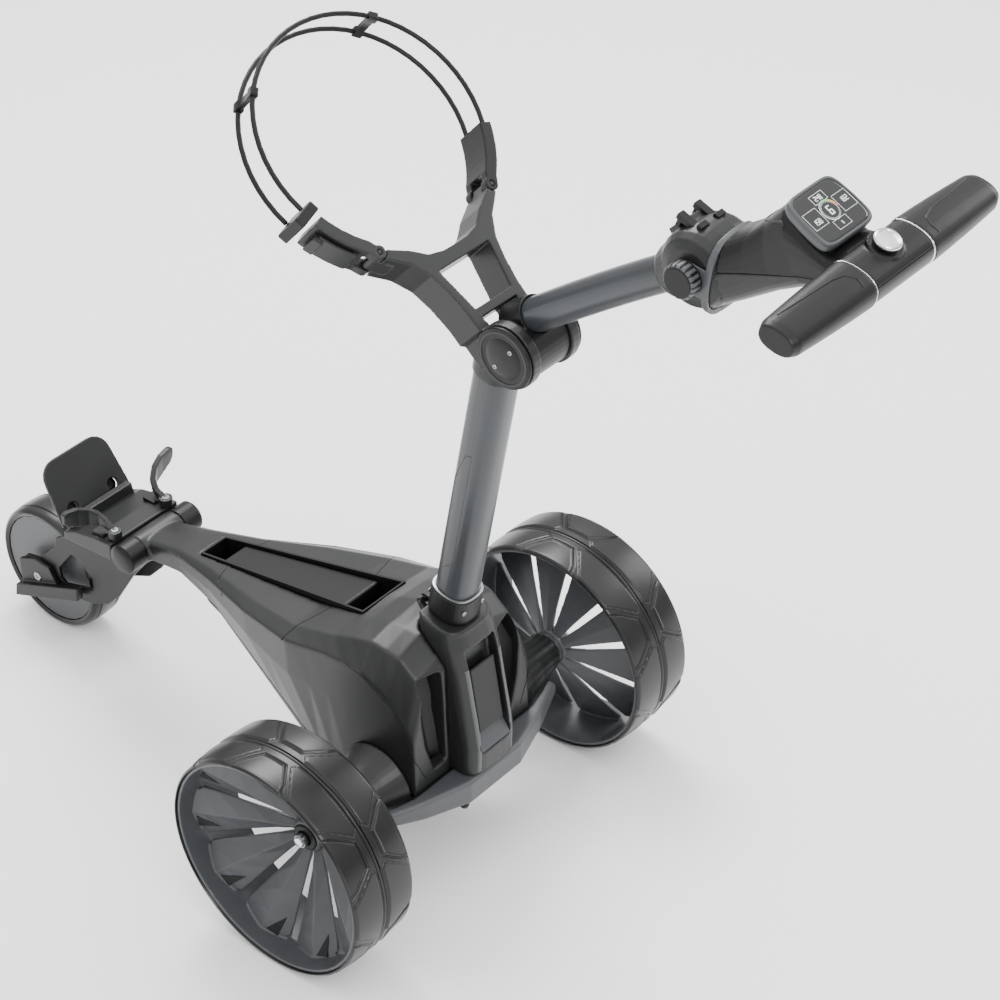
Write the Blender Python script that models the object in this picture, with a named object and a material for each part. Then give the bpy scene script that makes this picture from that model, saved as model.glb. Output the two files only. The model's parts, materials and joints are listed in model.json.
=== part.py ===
"""Electric golf trolley: three wheels, a two-part folding mast, a bag ring and a T-bar handle.

Frame: +Z up, +X to the trolley's left, -Y is the way it travels. Every size is in metres.
The pieces are drawn in the axle frame, whose origin is on the ground under the rear axle, and
the trolley_origin empty moves that frame so that the model's own origin is the bottom centre
of its bounding box.
"""
import math

import bmesh
import bpy
from mathutils import Matrix, Vector

# ---------------------------------------------------------------- driving dimensions
GAP = 0.0003                 # clearance between two pieces that touch
WALL = 0.003                 # moulded wall

# rear wheels
WHEEL_R = 0.140
WHEEL_WIDTH = 0.092
TRACK_HALF = 0.242           # wheel centre from the middle plane
TYRE_THICK = 0.0057
RIM_THICK = 0.003
HUB_R = 0.021
HUB_LENGTH = 0.022
HUB_INSET = 0.046            # hub's inner face from the wheel's centre plane
SPOKES = 10
SPOKE_DISH = 0.054           # how far a spoke runs outwards between hub and rim
SPOKE_ROOT = 0.0042          # half width at the hub
SPOKE_TIP = 0.0225           # half width at the rim
AXLE_R = 0.008
AXLE_END = 0.012             # axle's bare end beyond the hub
BUTTON_R = 0.0062
BUTTON_TRAVEL = 0.003

# drive unit, between the axles
MOTOR_R = 0.034
MOTOR_LENGTH = 0.075
GEARBOX_SIZE = (0.036, 0.070, 0.066)
AXLE_INNER_END = 0.062       # where an axle shaft starts, from the middle plane
HOUSING_BASE_X = 0.100       # axle housing's big end
HOUSING_BASE_R = 0.050
HOUSING_NOSE_R = 0.024
BEARING_R = 0.016
BEARING_WIDTH = 0.012

# chassis body: heights are above the ground
BODY_HALF_WIDTH = 0.0985
BUMPER_TOP_Z = 0.1455
TOWER_HALF_WIDTH = 0.040
TOWER_TOP_Z = 0.3490         # before the mast's seat is cut
BAY_FRONT_WIDTH = 0.021      # half widths of the battery bay
BAY_REAR_WIDTH = 0.036
BAY_FRONT_Y = -0.350
BAY_REAR_Y = -0.072
BAY_FLOOR_Z = 0.1960
BATTERY_FRONT_Y = -0.318
BATTERY_REAR_Y = -0.104
POCKET_HALF_WIDTH = 0.024
POCKET_LOW_Z = 0.176
POCKET_HIGH_Z = 0.312
POCKET_DEPTH = 0.014
LATCH_LOW_Z = 0.200
LATCH_HIGH_Z = 0.284
LATCH_THICK = 0.004

# front unit
FRONT_PIVOT_Y = -0.450
FRONT_PIVOT_Z = 0.210
KNUCKLE_R = 0.0195
KNUCKLE_INNER = 0.033        # half length of the body's own knuckle
KNUCKLE_OUTER = 0.058        # half length over both fork knuckles
FRONT_AXLE_Y = -0.636
FRONT_WHEEL_R = 0.0863
FRONT_WHEEL_WIDTH = 0.052
FORK_INNER = 0.0335          # inner face of a fork plate
FORK_THICK = 0.0045
PADDLE_TILT = 29.5           # degrees that the bag plate leans forward from vertical
PADDLE_WIDTH = 0.114
PADDLE_HEIGHT = 0.080
PADDLE_THICK = 0.0045

# mast
MAST_BASE_Y = 0.0330
MAST_BASE_Z = 0.3420
MAST_LEAN = 12.0             # degrees back from vertical
MAST_WIDTH = 0.0440
MAST_DEPTH = 0.0460
COLLAR_LENGTH = 0.036
COLLAR_THICK = 0.0042
MAST_PIVOT_Y = 0.0000
MAST_PIVOT_Z = 0.3465
LUG_R = 0.0055
LUG_HALF = 0.0115
MAST_TUBE_END = 0.352        # tube's top end, along the mast
HINGE_Y = 0.1496
HINGE_Z = 0.7386
HINGE_R = 0.036
BARREL_R = 0.0328
BARREL_HALF = 0.0240
CHEEK_OUTER = 0.0360
CAP_THICK = 0.0048
PIN_R = 0.006

# bag ring: a tilted plane through RING_Y, RING_Z
RING_Y = -0.0617
RING_Z = 0.8963
RING_TILT = 42.6             # degrees between the ring's axis and vertical
RING_HALF_WIDTH = 0.1348
RING_HALF_LENGTH = 0.1294
WIRE_R = 0.0023
WIRE_OFFSET = 0.0164         # each wire from the ring's middle plane
BRACKET_HALF_DEPTH = 0.0210
ARM_PIVOT_X = 0.0846
ARM_PIVOT_S = -0.1075        # along the ring plane, negative towards the mast
ARM_INNER_R = 0.1275
ARM_OUTER_R = 0.1410
ARM_START = 43.0             # degrees round the ring from the mast side
ARM_END = 68.0
HEEL_R = 0.0078
END_BLOCK_ANGLE = 73.3
END_BLOCK_SIZE = (0.030, 0.012, 0.041)

# upper mast and handle
UPPER_START = (0.1578, 0.7732)
UPPER_MIDDLE = (0.2440, 0.8350)
UPPER_END = (0.3300, 0.8925)
UPPER_R = 0.0188
TILT_Y = 0.3703
TILT_Z = 0.9185
CLAMP_HALF_WIDTH = 0.0340
CLAMP_R = 0.0420
EAR_R = 0.0160
FLANGE_LEAN = 7.8            # degrees that the flange leans back from vertical
FLANGE_OFFSET = 0.0186       # flange's front face from the tilt axis
FLANGE_THICK = 0.0070
SIDE_KNOB_R = 0.0180
BAR_Y = 0.5550
BAR_Z = 0.9860
BAR_TILT = 14.0              # degrees that the bar's long axis dips to the rear
RING_TRIM_X = 0.0440
GRIP_END_X = 0.1590
BAR_HALF_DEPTH = 0.0260
BAR_HALF_HEIGHT = 0.0190
GRIP_END_DEPTH = 0.0210
GRIP_END_HEIGHT = 0.0140
DISPLAY_Y = 0.4980
DISPLAY_Z = 1.0190
DISPLAY_TILT = 27.8          # degrees that the display leans back to the user
DISPLAY_WIDTH = 0.074
DISPLAY_LENGTH = 0.060
DISPLAY_THICK = 0.014
KNOB_Y = 0.5560
KNOB_Z = 1.0030
KNOB_TILT = 20.0
KNOB_R = 0.0135
KNOB_TRAVEL = 0.002

# ---------------------------------------------------------------- finishes
FINISHES = {
    "body_plastic": ((0.045, 0.047, 0.049), 0.42, 0.0),
    "dark_plastic": ((0.017, 0.018, 0.019), 0.48, 0.0),
    "tube_paint": ((0.075, 0.083, 0.092), 0.38, 0.4),
    "grey_plastic": ((0.105, 0.110, 0.118), 0.45, 0.0),
    "tyre_rubber": ((0.014, 0.014, 0.015), 0.50, 0.0),
    "grip_rubber": ((0.016, 0.017, 0.018), 0.60, 0.0),
    "steel": ((0.55, 0.56, 0.57), 0.30, 1.0),
    "silver_trim": ((0.72, 0.73, 0.74), 0.22, 1.0),
    "screen_glass": ((0.008, 0.009, 0.010), 0.08, 0.0),
}


def clear_scene():
    for thing in list(bpy.data.objects):
        bpy.data.objects.remove(thing)


def finish(name):
    """The named finish as a material, made the first time it is asked for."""
    if name in bpy.data.materials:
        return bpy.data.materials[name]
    colour, roughness, metallic = FINISHES[name]
    made = bpy.data.materials.new(name)
    made.use_nodes = True
    shader = made.node_tree.nodes["Principled BSDF"]
    shader.inputs["Base Color"].default_value = (*colour, 1.0)
    shader.inputs["Roughness"].default_value = roughness
    shader.inputs["Metallic"].default_value = metallic
    made.diffuse_color = (*colour, 1.0)
    return made


# ---------------------------------------------------------------- scene helpers
def body(name, parent, place):
    """An empty on a moving body's joint axis. place is in the axle frame."""
    empty = bpy.data.objects.new(name, None)
    bpy.context.scene.collection.objects.link(empty)
    base = Vector(parent["place"]) if parent else Vector((0.0, 0.0, 0.0))
    empty.parent = parent
    empty.location = Vector(place) - base
    empty["place"] = tuple(place)
    return empty


def link(name, mesh, owner, slot, at=(0.0, 0.0, 0.0), turn=None, sharp=35.0):
    """Puts a mesh in the scene as a named piece of a body, placed in the axle frame."""
    piece = bpy.data.objects.new(name, mesh)
    bpy.context.scene.collection.objects.link(piece)
    piece.parent = owner
    piece.location = Vector(at) - Vector(owner["place"])
    if turn is not None:
        piece.rotation_euler = turn.to_euler()
    if slot:
        mesh.materials.append(finish(slot))
    mesh.shade_smooth()
    mesh.set_sharp_from_angle(angle=math.radians(sharp))
    return piece


def to_mesh(name, bm):
    bmesh.ops.remove_doubles(bm, verts=bm.verts, dist=1e-6)
    bmesh.ops.recalc_face_normals(bm, faces=bm.faces)
    mesh = bpy.data.meshes.new(name)
    bm.to_mesh(mesh)
    bm.free()
    return mesh


def modify(piece, operation, tool):
    """A Boolean with a hidden tool object."""
    tool.hide_render = True
    tool.display_type = "WIRE"
    step = piece.modifiers.new(operation.lower(), "BOOLEAN")
    step.operation = operation
    step.object = tool
    step.solver = "EXACT"
    return piece


def cut(piece, *tools):
    for tool in tools:
        modify(piece, "DIFFERENCE", tool)
    return piece


def fuse(piece, *tools):
    for tool in tools:
        modify(piece, "UNION", tool)
    return piece


def round_edges(piece, width, segments=2, angle=40.0):
    step = piece.modifiers.new("edge", "BEVEL")
    step.width = width
    step.segments = segments
    step.limit_method = "ANGLE"
    step.angle_limit = math.radians(angle)
    return piece


def weld(piece):
    """Joins the slivers that crossing cuts leave."""
    step = piece.modifiers.new("weld", "WELD")
    step.merge_threshold = 0.00005
    return piece


# ---------------------------------------------------------------- mesh helpers
def loft(rings):
    """A closed solid through rings of points that all have the same count."""
    bm = bmesh.new()
    rows = [[bm.verts.new(point) for point in ring] for ring in rings]
    count = len(rows[0])
    for low, high in zip(rows, rows[1:]):
        for i in range(count):
            j = (i + 1) % count
            bm.faces.new((low[i], low[j], high[j], high[i]))
    bm.faces.new(rows[0])
    bm.faces.new(rows[-1])
    return bm


def block(size, centre=(0.0, 0.0, 0.0)):
    bm = bmesh.new()
    bmesh.ops.create_cube(bm, size=1.0)
    bmesh.ops.scale(bm, verts=bm.verts, vec=size)
    bmesh.ops.translate(bm, verts=bm.verts, vec=centre)
    return bm


def sweep(points, radius, sides=6):
    """A round bar along a path that lies in the middle plane or curves gently."""
    rings = []
    for i, point in enumerate(points):
        along = (points[min(i + 1, len(points) - 1)] - points[max(i - 1, 0)]).normalized()
        turn = along.to_track_quat("Z", "X").to_matrix()
        rings.append(ellipse(point, turn.col[0], turn.col[1], radius, radius, sides))
    return loft(rings)


def turned(profile, steps, closed=True):
    """Revolves (radius, height) points round +Z. An open profile starts and ends on the axis."""
    bm = bmesh.new()
    verts = [bm.verts.new((r, 0.0, h)) for r, h in profile]
    pairs = list(zip(verts, verts[1:])) + ([(verts[-1], verts[0])] if closed else [])
    edges = [bm.edges.new(pair) for pair in pairs]
    bmesh.ops.spin(bm, geom=verts + edges, cent=(0, 0, 0), axis=(0, 0, 1),
                   angle=2 * math.pi, steps=steps, use_merge=True)
    return bm


def rod(radius, low, high, steps=24):
    return turned([(0.0, low), (radius, low), (radius, high), (0.0, high)], steps, closed=False)


def tube(inner, outer, low, high, steps=32):
    return turned([(inner, low), (outer, low), (outer, high), (inner, high)], steps)


def ellipse(centre, across, along, half_across, half_along, count, power=2.0):
    """Points round a (super)ellipse in the plane of two directions."""
    points = []
    for i in range(count):
        angle = 2 * math.pi * i / count
        c, s = math.cos(angle), math.sin(angle)
        u = math.copysign(abs(c) ** (2 / power), c) * half_across
        v = math.copysign(abs(s) ** (2 / power), s) * half_along
        points.append(Vector(centre) + Vector(across) * u + Vector(along) * v)
    return points


def slab(outline, low, high, place):
    """Extrudes a flat outline of (u, v) points between two levels; place maps (u, v, w)."""
    return loft([[place(u, v, w) for u, v in outline] for w in (low, high)])


def arc(radius, start, end, count, centre=(0.0, 0.0)):
    """(u, v) points on an arc, angles in degrees from +u towards +v."""
    points = []
    for i in range(count):
        angle = math.radians(start + (end - start) * i / (count - 1))
        points.append((centre[0] + radius * math.cos(angle), centre[1] + radius * math.sin(angle)))
    return points


def interpolate(table, value):
    """Reads a list of (position, value) pairs as a piecewise straight line."""
    if value <= table[0][0]:
        return table[0][1]
    for (a, x), (b, y) in zip(table, table[1:]):
        if value <= b:
            return x + (y - x) * (value - a) / (b - a)
    return table[-1][1]


ALONG_X = Matrix.Rotation(math.radians(90), 3, "Y")      # local +Z becomes world +X
ACROSS = Vector((1.0, 0.0, 0.0))
LEAN = math.radians(MAST_LEAN)
MAST_UP = Vector((0.0, math.sin(LEAN), math.cos(LEAN)))
MAST_OUT = Vector((0.0, math.cos(LEAN), -math.sin(LEAN)))
MAST_FOOT = Vector((0.0, MAST_BASE_Y, MAST_BASE_Z))
MAST_TURN = Matrix.Rotation(-LEAN, 3, "X")


def facing(direction):
    """The rotation that turns local +Z to a direction."""
    return Vector((0, 0, 1)).rotation_difference(Vector(direction)).to_matrix()


# ---------------------------------------------------------------- wheels
def wheel(side, owner_wheel, owner_button):
    """A driven wheel: tread ring, dished spoked rim, axle shaft and its release button."""
    tag = "left" if side > 0 else "right"
    centre = (side * TRACK_HALF, 0.0, WHEEL_R)
    outwards = ALONG_X if side > 0 else ALONG_X @ Matrix.Rotation(math.pi, 3, "X")
    half = WHEEL_WIDTH / 2
    inner = WHEEL_R - TYRE_THICK
    groove = 0.0022
    chamfer = 0.003
    tread = [(inner, -half + 0.001), (WHEEL_R - chamfer, -half), (WHEEL_R, -half + chamfer),
             (WHEEL_R, -groove), (WHEEL_R - groove, -groove / 2),
             (WHEEL_R - groove, groove / 2), (WHEEL_R, groove),
             (WHEEL_R, half - chamfer), (WHEEL_R - chamfer, half), (inner, half - 0.001)]
    link("tyre_" + tag, to_mesh("tyre_" + tag, turned(tread, 48)), owner_wheel,
         "tyre_rubber", centre, outwards)

    rim_r = inner - GAP
    hub_low = -HUB_INSET
    hub_high = hub_low + HUB_LENGTH
    barrel = tube(rim_r - RIM_THICK, rim_r, -half + 0.002, half - 0.002, 48)
    rim = link("rim_" + tag, to_mesh("rim_" + tag, barrel), owner_wheel,
               "grey_plastic", centre, outwards, sharp=25.0)
    tip_r = math.sqrt((rim_r - RIM_THICK / 3) ** 2 - SPOKE_TIP ** 2)
    spokes = link("spokes_" + tag, to_mesh("spokes", spoke_fan(
        HUB_R - 0.004, tip_r, hub_low + 0.003, hub_high - 0.005, SPOKE_DISH, SPOKES,
        SPOKE_ROOT, SPOKE_TIP)), owner_wheel, None, centre, outwards)
    hub = link("hub_" + tag, to_mesh("hub", rod(HUB_R, hub_low, hub_high, 40)),
               owner_wheel, None, centre, outwards)
    bore = link("hub_bore_" + tag, to_mesh("bore", rod(AXLE_R + GAP, hub_low - 0.01,
                hub_high + 0.01)), owner_wheel, None, centre, outwards)
    cut(fuse(rim, spokes, hub), bore)

    shaft_end = TRACK_HALF + hub_high + AXLE_END
    shaft = rod(AXLE_R, AXLE_INNER_END, shaft_end)
    axle = link("axle_" + tag, to_mesh("axle", shaft), owner_wheel, "steel",
                (0.0, 0.0, WHEEL_R), outwards)
    socket = link("button_socket_" + tag, to_mesh("socket", rod(
        BUTTON_R + GAP, shaft_end - 0.010, shaft_end + 0.01)), owner_wheel, None,
        (0.0, 0.0, WHEEL_R), outwards)
    cut(axle, socket)
    press = rod(BUTTON_R, shaft_end - 0.010 + BUTTON_TRAVEL + GAP, shaft_end + BUTTON_TRAVEL)
    link("release_button_" + tag, to_mesh("button", press), owner_button, "silver_trim",
         (0.0, 0.0, WHEEL_R), outwards)


def spoke_fan(inner_r, outer_r, low, high, dish, count, half_root, half_tip):
    """Tapered ridged spokes that lean outwards by dish between hub and rim."""
    bm = bmesh.new()
    for i in range(count):
        turn = Matrix.Rotation(2 * math.pi * (i + 0.05) / count, 4, "Z")
        ends = []
        for radius, half, lift in ((inner_r, half_root, 0.0), (outer_r, half_tip, dish)):
            back = low + lift
            face = high + lift
            section = [(-half, back), (half, back), (half, face - 0.006), (0.0, face),
                       (-half, face - 0.006)]
            ends.append([bm.verts.new(turn @ Vector((radius, t, h))) for t, h in section])
        bm.faces.new(ends[0])
        bm.faces.new(ends[1])
        for k in range(5):
            m = (k + 1) % 5
            bm.faces.new((ends[0][k], ends[0][m], ends[1][m], ends[1][k]))
    return bm


# ---------------------------------------------------------------- chassis body
# Each table gives a value along Y, front to rear.
EDGE_WIDTH = [(-0.446, 0.029), (-0.384, 0.031), (-0.3136, 0.048), (-0.2236, 0.078),
              (-0.137, BODY_HALF_WIDTH)]
EDGE_HEIGHT = [(-0.446, 0.220), (-0.384, 0.234), (-0.3136, 0.2433), (-0.2236, 0.2578),
               (-0.137, 0.2714), (-0.075, 0.284), (-0.020, 0.287), (0.020, 0.266),
               (0.044, 0.240), (0.055, 0.215)]
CROWN_HEIGHT = [(-0.446, 0.226), (-0.384, 0.2405), (-0.3136, 0.2535), (-0.2236, 0.2690),
                (-0.137, 0.2850), (-0.075, 0.304), (-0.030, 0.3265), (0.000, 0.3300),
                (0.030, 0.3300), (0.055, 0.300)]
LOWER_WIDTH = [(-0.446, 0.026), (-0.384, 0.027), (-0.3136, 0.036), (-0.2236, 0.056),
               (-0.137, 0.078), (-0.060, BODY_HALF_WIDTH)]
LOWER_HEIGHT = [(-0.446, 0.196), (-0.384, 0.204), (-0.3136, 0.190), (-0.2236, 0.156),
                (-0.137, 0.128), (-0.060, 0.122), (0.000, 0.136), (0.055, BUMPER_TOP_Z)]
TRAY_HEIGHT = [(-0.335, 0.180), (-0.3136, 0.174), (-0.2236, 0.134), (-0.137, 0.102),
               (-0.060, 0.090), (0.000, 0.094), (0.055, 0.108), (0.088, 0.113)]
SHELL_STATIONS = (-0.446, -0.415, -0.384, -0.350, -0.3136, -0.268, -0.2236, -0.180, -0.137,
                  -0.104, -0.075, -0.048, -0.020, 0.000, 0.020, 0.044, 0.055)
TRAY_STATIONS = (-0.335, -0.3136, -0.268, -0.2236, -0.180, -0.137, -0.100, -0.060,
                 -0.020, 0.020, 0.055)


def shell_section(y, inset=0.0):
    """Half section of the upper shell as (x, z), top middle to bottom middle."""
    edge = interpolate(EDGE_WIDTH, y) - inset
    edge_z = interpolate(EDGE_HEIGHT, y) - inset
    crown = interpolate(CROWN_HEIGHT, y) - inset
    low_w = interpolate(LOWER_WIDTH, y) - inset
    low_z = interpolate(LOWER_HEIGHT, y)
    shoulder = edge_z + 0.72 * (crown - edge_z)
    bulge = edge - 0.10 * (edge - low_w)
    return [(0.0, crown), (0.45 * edge, crown - 0.10 * (crown - edge_z)),
            (0.80 * edge, shoulder), (edge, edge_z),
            (bulge, edge_z - 0.35 * (edge_z - low_z)),
            (low_w, low_z), (0.5 * low_w, low_z), (0.0, low_z)]


def mirrored(half):
    """Closes a half section across the middle plane."""
    return half + [(-x, z) for x, z in reversed(half[1:-1])]


def bay_form(clear, floor, front, rear, rise=0.0):
    """A tapered box the shape of the battery bay, shrunk by a clearance all round."""
    rings = []
    for y in (front + clear, rear - clear):
        share = (y - BAY_FRONT_Y) / (BAY_REAR_Y - BAY_FRONT_Y)
        half = BAY_FRONT_WIDTH + share * (BAY_REAR_WIDTH - BAY_FRONT_WIDTH) - clear
        top = interpolate(CROWN_HEIGHT, y) + rise
        rings.append([Vector((x, y, z)) for x, z in
                      ((-half, floor), (half, floor), (half, top), (-half, top))])
    return rings


TOWER_FRONT = [(0.1455, 0.042), (0.200, 0.030), (0.250, 0.012), (TOWER_TOP_Z, 0.002)]
TOWER_REAR = [(0.1455, 0.088), (0.184, 0.0915), (0.210, 0.0885), (0.2865, 0.0775),
              (0.3126, 0.0705), (0.330, 0.0650), (TOWER_TOP_Z, 0.0620)]
TOWER_LEVELS = (0.1455, 0.165, 0.184, 0.210, 0.250, 0.2865, 0.3126, 0.330, TOWER_TOP_Z)


def tower_form(grow, rise):
    """The spine under the mast, as rings from bottom to top, grown by a clearance."""
    rings = []
    for z in TOWER_LEVELS:
        front = interpolate(TOWER_FRONT, z) - grow
        rear = interpolate(TOWER_REAR, z) + grow
        taper = 1.0 - 0.10 * max(0.0, (z - 0.3126) / (TOWER_TOP_Z - 0.3126))
        half = TOWER_HALF_WIDTH * taper + grow
        level = z + (GAP if z == TOWER_LEVELS[0] else 0.0)
        level += rise if z == TOWER_LEVELS[-1] else 0.0
        level -= rise if z == TOWER_LEVELS[0] else 0.0
        middle = (front + rear) / 2
        rings.append(ellipse((0.0, middle, level), (1, 0, 0), (0, 1, 0), half,
                             (rear - front) / 2, 28, 3.4))
    return rings


def body_shell(chassis):
    outer = loft([[Vector((x, y, z)) for x, z in mirrored(shell_section(y))]
                  for y in SHELL_STATIONS])
    shell = link("body_shell", to_mesh("body_shell", outer), chassis, "body_plastic",
                 sharp=28.0)
    inner = loft([[Vector((x, y, z - WALL)) for x, z in mirrored(shell_section(y, WALL))]
                  for y in SHELL_STATIONS if -0.375 < y < -0.030])
    drive = block((2 * (BODY_HALF_WIDTH - WALL), 0.094, 0.130), (0.0, -0.008, 0.118))
    tools = [("shell_cavity", inner), ("drive_room", drive),
             ("battery_bay", loft(bay_form(0.0, BAY_FLOOR_Z - 0.03, BAY_FRONT_Y, BAY_REAR_Y,
                                           0.02))),
             ("tower_room", loft(tower_form(2 * GAP, 0.03)))]
    for side in (1, -1):
        tools.append((f"recess_{side}", rear_recess(side)))
    cut(shell, *(link(name, to_mesh(name, bm), chassis, None) for name, bm in tools))
    pivot = (0.0, FRONT_PIVOT_Y, FRONT_PIVOT_Z)
    knuckle = link("neck_knuckle", to_mesh("neck_knuckle", rod(
        KNUCKLE_R, -KNUCKLE_INNER, KNUCKLE_INNER, 32)), chassis, None, pivot, ALONG_X)
    bore = link("neck_bore", to_mesh("neck_bore", rod(PIN_R + GAP, -0.08, 0.08)), chassis,
                None, pivot, ALONG_X)
    cut(fuse(shell, knuckle), bore)
    return shell


def rear_recess(side):
    """The deep hollow between a corner pillar and the spine, open to the rear."""
    rings = []
    for z, near, far, front in ((0.165, 0.046, 0.066, 0.030), (0.205, 0.046, 0.078, 0.012),
                                (0.250, 0.046, 0.083, -0.004), (0.292, 0.048, 0.078, 0.000)):
        middle = (near + far) / 2
        rings.append(ellipse((side * middle, 0.10, z), (1, 0, 0), (0, 1, 0),
                             (far - near) / 2, 0.10 - front, 20, 5.0))
    return loft(rings)


def rear_tower(chassis):
    tower = link("rear_tower", to_mesh("rear_tower", loft(tower_form(0.0, 0.0))), chassis,
                 "body_plastic", sharp=30.0)
    rear_low = interpolate(TOWER_REAR, POCKET_LOW_Z)
    rear_high = interpolate(TOWER_REAR, POCKET_HIGH_Z)
    pocket = slab([(rear_low - POCKET_DEPTH, POCKET_LOW_Z), (rear_low + 0.03, POCKET_LOW_Z),
                   (rear_high + 0.03, POCKET_HIGH_Z), (rear_high - POCKET_DEPTH, POCKET_HIGH_Z)],
                  -POCKET_HALF_WIDTH, POCKET_HALF_WIDTH, lambda u, v, w: Vector((w, u, v)))
    seat = block((0.2, 0.2, 0.04), (0.0, 0.0, 0.02 - GAP))
    notch = block((0.2, 0.04, 0.04), (0.0, 0.0098 - 0.02, 0.3395 + 0.02))
    cut(tower, link("latch_pocket", to_mesh("latch_pocket", pocket), chassis, None),
        link("mast_seat", to_mesh("mast_seat", seat), chassis, None, MAST_FOOT, MAST_TURN),
        link("ear_notch", to_mesh("ear_notch", notch), chassis, None))
    ears = [(0.0125, 0.0200), (-0.0200, -0.0125)]
    for number, (low, high) in enumerate(ears):
        ear = slab([(0.022, 0.3306), (0.0040, 0.3306), (-0.0040, MAST_PIVOT_Z - 0.004),
                    (-0.0052, MAST_PIVOT_Z), (-0.0037, MAST_PIVOT_Z + 0.0037),
                    (0.0, MAST_PIVOT_Z + 0.0052), (0.0015, MAST_PIVOT_Z + 0.005),
                    (0.0035, MAST_PIVOT_Z - 0.0045)],
                   low, high, lambda u, v, w: Vector((w, u, v)))
        fuse(tower, link(f"mast_ear_{number}", to_mesh("mast_ear", ear), chassis, None))
    pin_room = link("mast_pin_bore", to_mesh("mast_pin_bore", rod(0.0022 + GAP, -0.03, 0.03, 16)),
                    chassis, None, (0.0, MAST_PIVOT_Y, MAST_PIVOT_Z), ALONG_X)
    cut(tower, pin_room)
    link("mast_pin", to_mesh("mast_pin", rod(0.0022, -0.0202, 0.0202, 16)), chassis, "steel",
         (0.0, MAST_PIVOT_Y, MAST_PIVOT_Z), ALONG_X)


def undertray(chassis):
    """The lower pan: it closes the shell from below and carries the bumper at the rear."""
    def section(y):
        half = interpolate(LOWER_WIDTH, y)
        top = interpolate(LOWER_HEIGHT, y) - GAP
        low = interpolate(TRAY_HEIGHT, y)
        return [(0.0, top), (half, top), (half - 0.004, low + 0.35 * (top - low)),
                (0.80 * half, low), (0.0, low)]

    def room(y):
        half = interpolate(LOWER_WIDTH, y) - WALL
        top = interpolate(LOWER_HEIGHT, y) + 0.01
        low = interpolate(TRAY_HEIGHT, y) + WALL
        return [(0.0, top), (half, top), (half - 0.004, low + 0.30 * (top - low)),
                (0.76 * half, low), (0.0, low)]

    pan = loft([[Vector((x, y, z)) for x, z in mirrored(section(y))] for y in TRAY_STATIONS])
    inside = loft([[Vector((x, y, z)) for x, z in mirrored(room(y))]
                   for y in TRAY_STATIONS[1:-1] + (0.048,)])
    tray = link("undertray", to_mesh("undertray", pan), chassis, "dark_plastic", sharp=25.0)
    cut(tray, link("tray_room", to_mesh("tray_room", inside), chassis, None))

    bumper_rings = []
    for x, rear, low in ((-0.150, 0.052, 0.130), (-0.128, 0.060, 0.124), (-0.100, 0.071, 0.119),
                         (-0.043, 0.088, 0.113), (0.043, 0.088, 0.113), (0.100, 0.071, 0.119),
                         (0.128, 0.060, 0.124), (0.150, 0.052, 0.130)):
        front = 0.0553 if abs(x) < 0.11 else rear - 0.012
        top = BUMPER_TOP_Z
        bumper_rings.append([Vector((x, front, low)), Vector((x, rear - 0.003, low)),
                             Vector((x, rear, low + 0.004)), Vector((x, rear, top - 0.003)),
                             Vector((x, rear - 0.003, top)), Vector((x, front, top))])
    link("rear_bumper", to_mesh("rear_bumper", loft(bumper_rings)), chassis, "grey_plastic",
         sharp=30.0)


def battery_group(chassis, battery):
    tray = link("battery_tray", to_mesh("battery_tray", loft(
        bay_form(GAP, BAY_FLOOR_Z, BAY_FRONT_Y, BAY_REAR_Y))), chassis, "dark_plastic")
    room = loft(bay_form(WALL, BAY_FLOOR_Z + WALL, BAY_FRONT_Y, BAY_REAR_Y, 0.02))
    cut(tray, link("tray_inside", to_mesh("tray_inside", room), chassis, None))
    pack_form = loft(bay_form(WALL + 0.0006, BAY_FLOOR_Z + WALL + GAP, BATTERY_FRONT_Y,
                              BATTERY_REAR_Y, -0.002))
    pack = link("battery_pack", to_mesh("battery_pack", pack_form), battery, "dark_plastic")
    round_edges(pack, 0.003)


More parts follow.
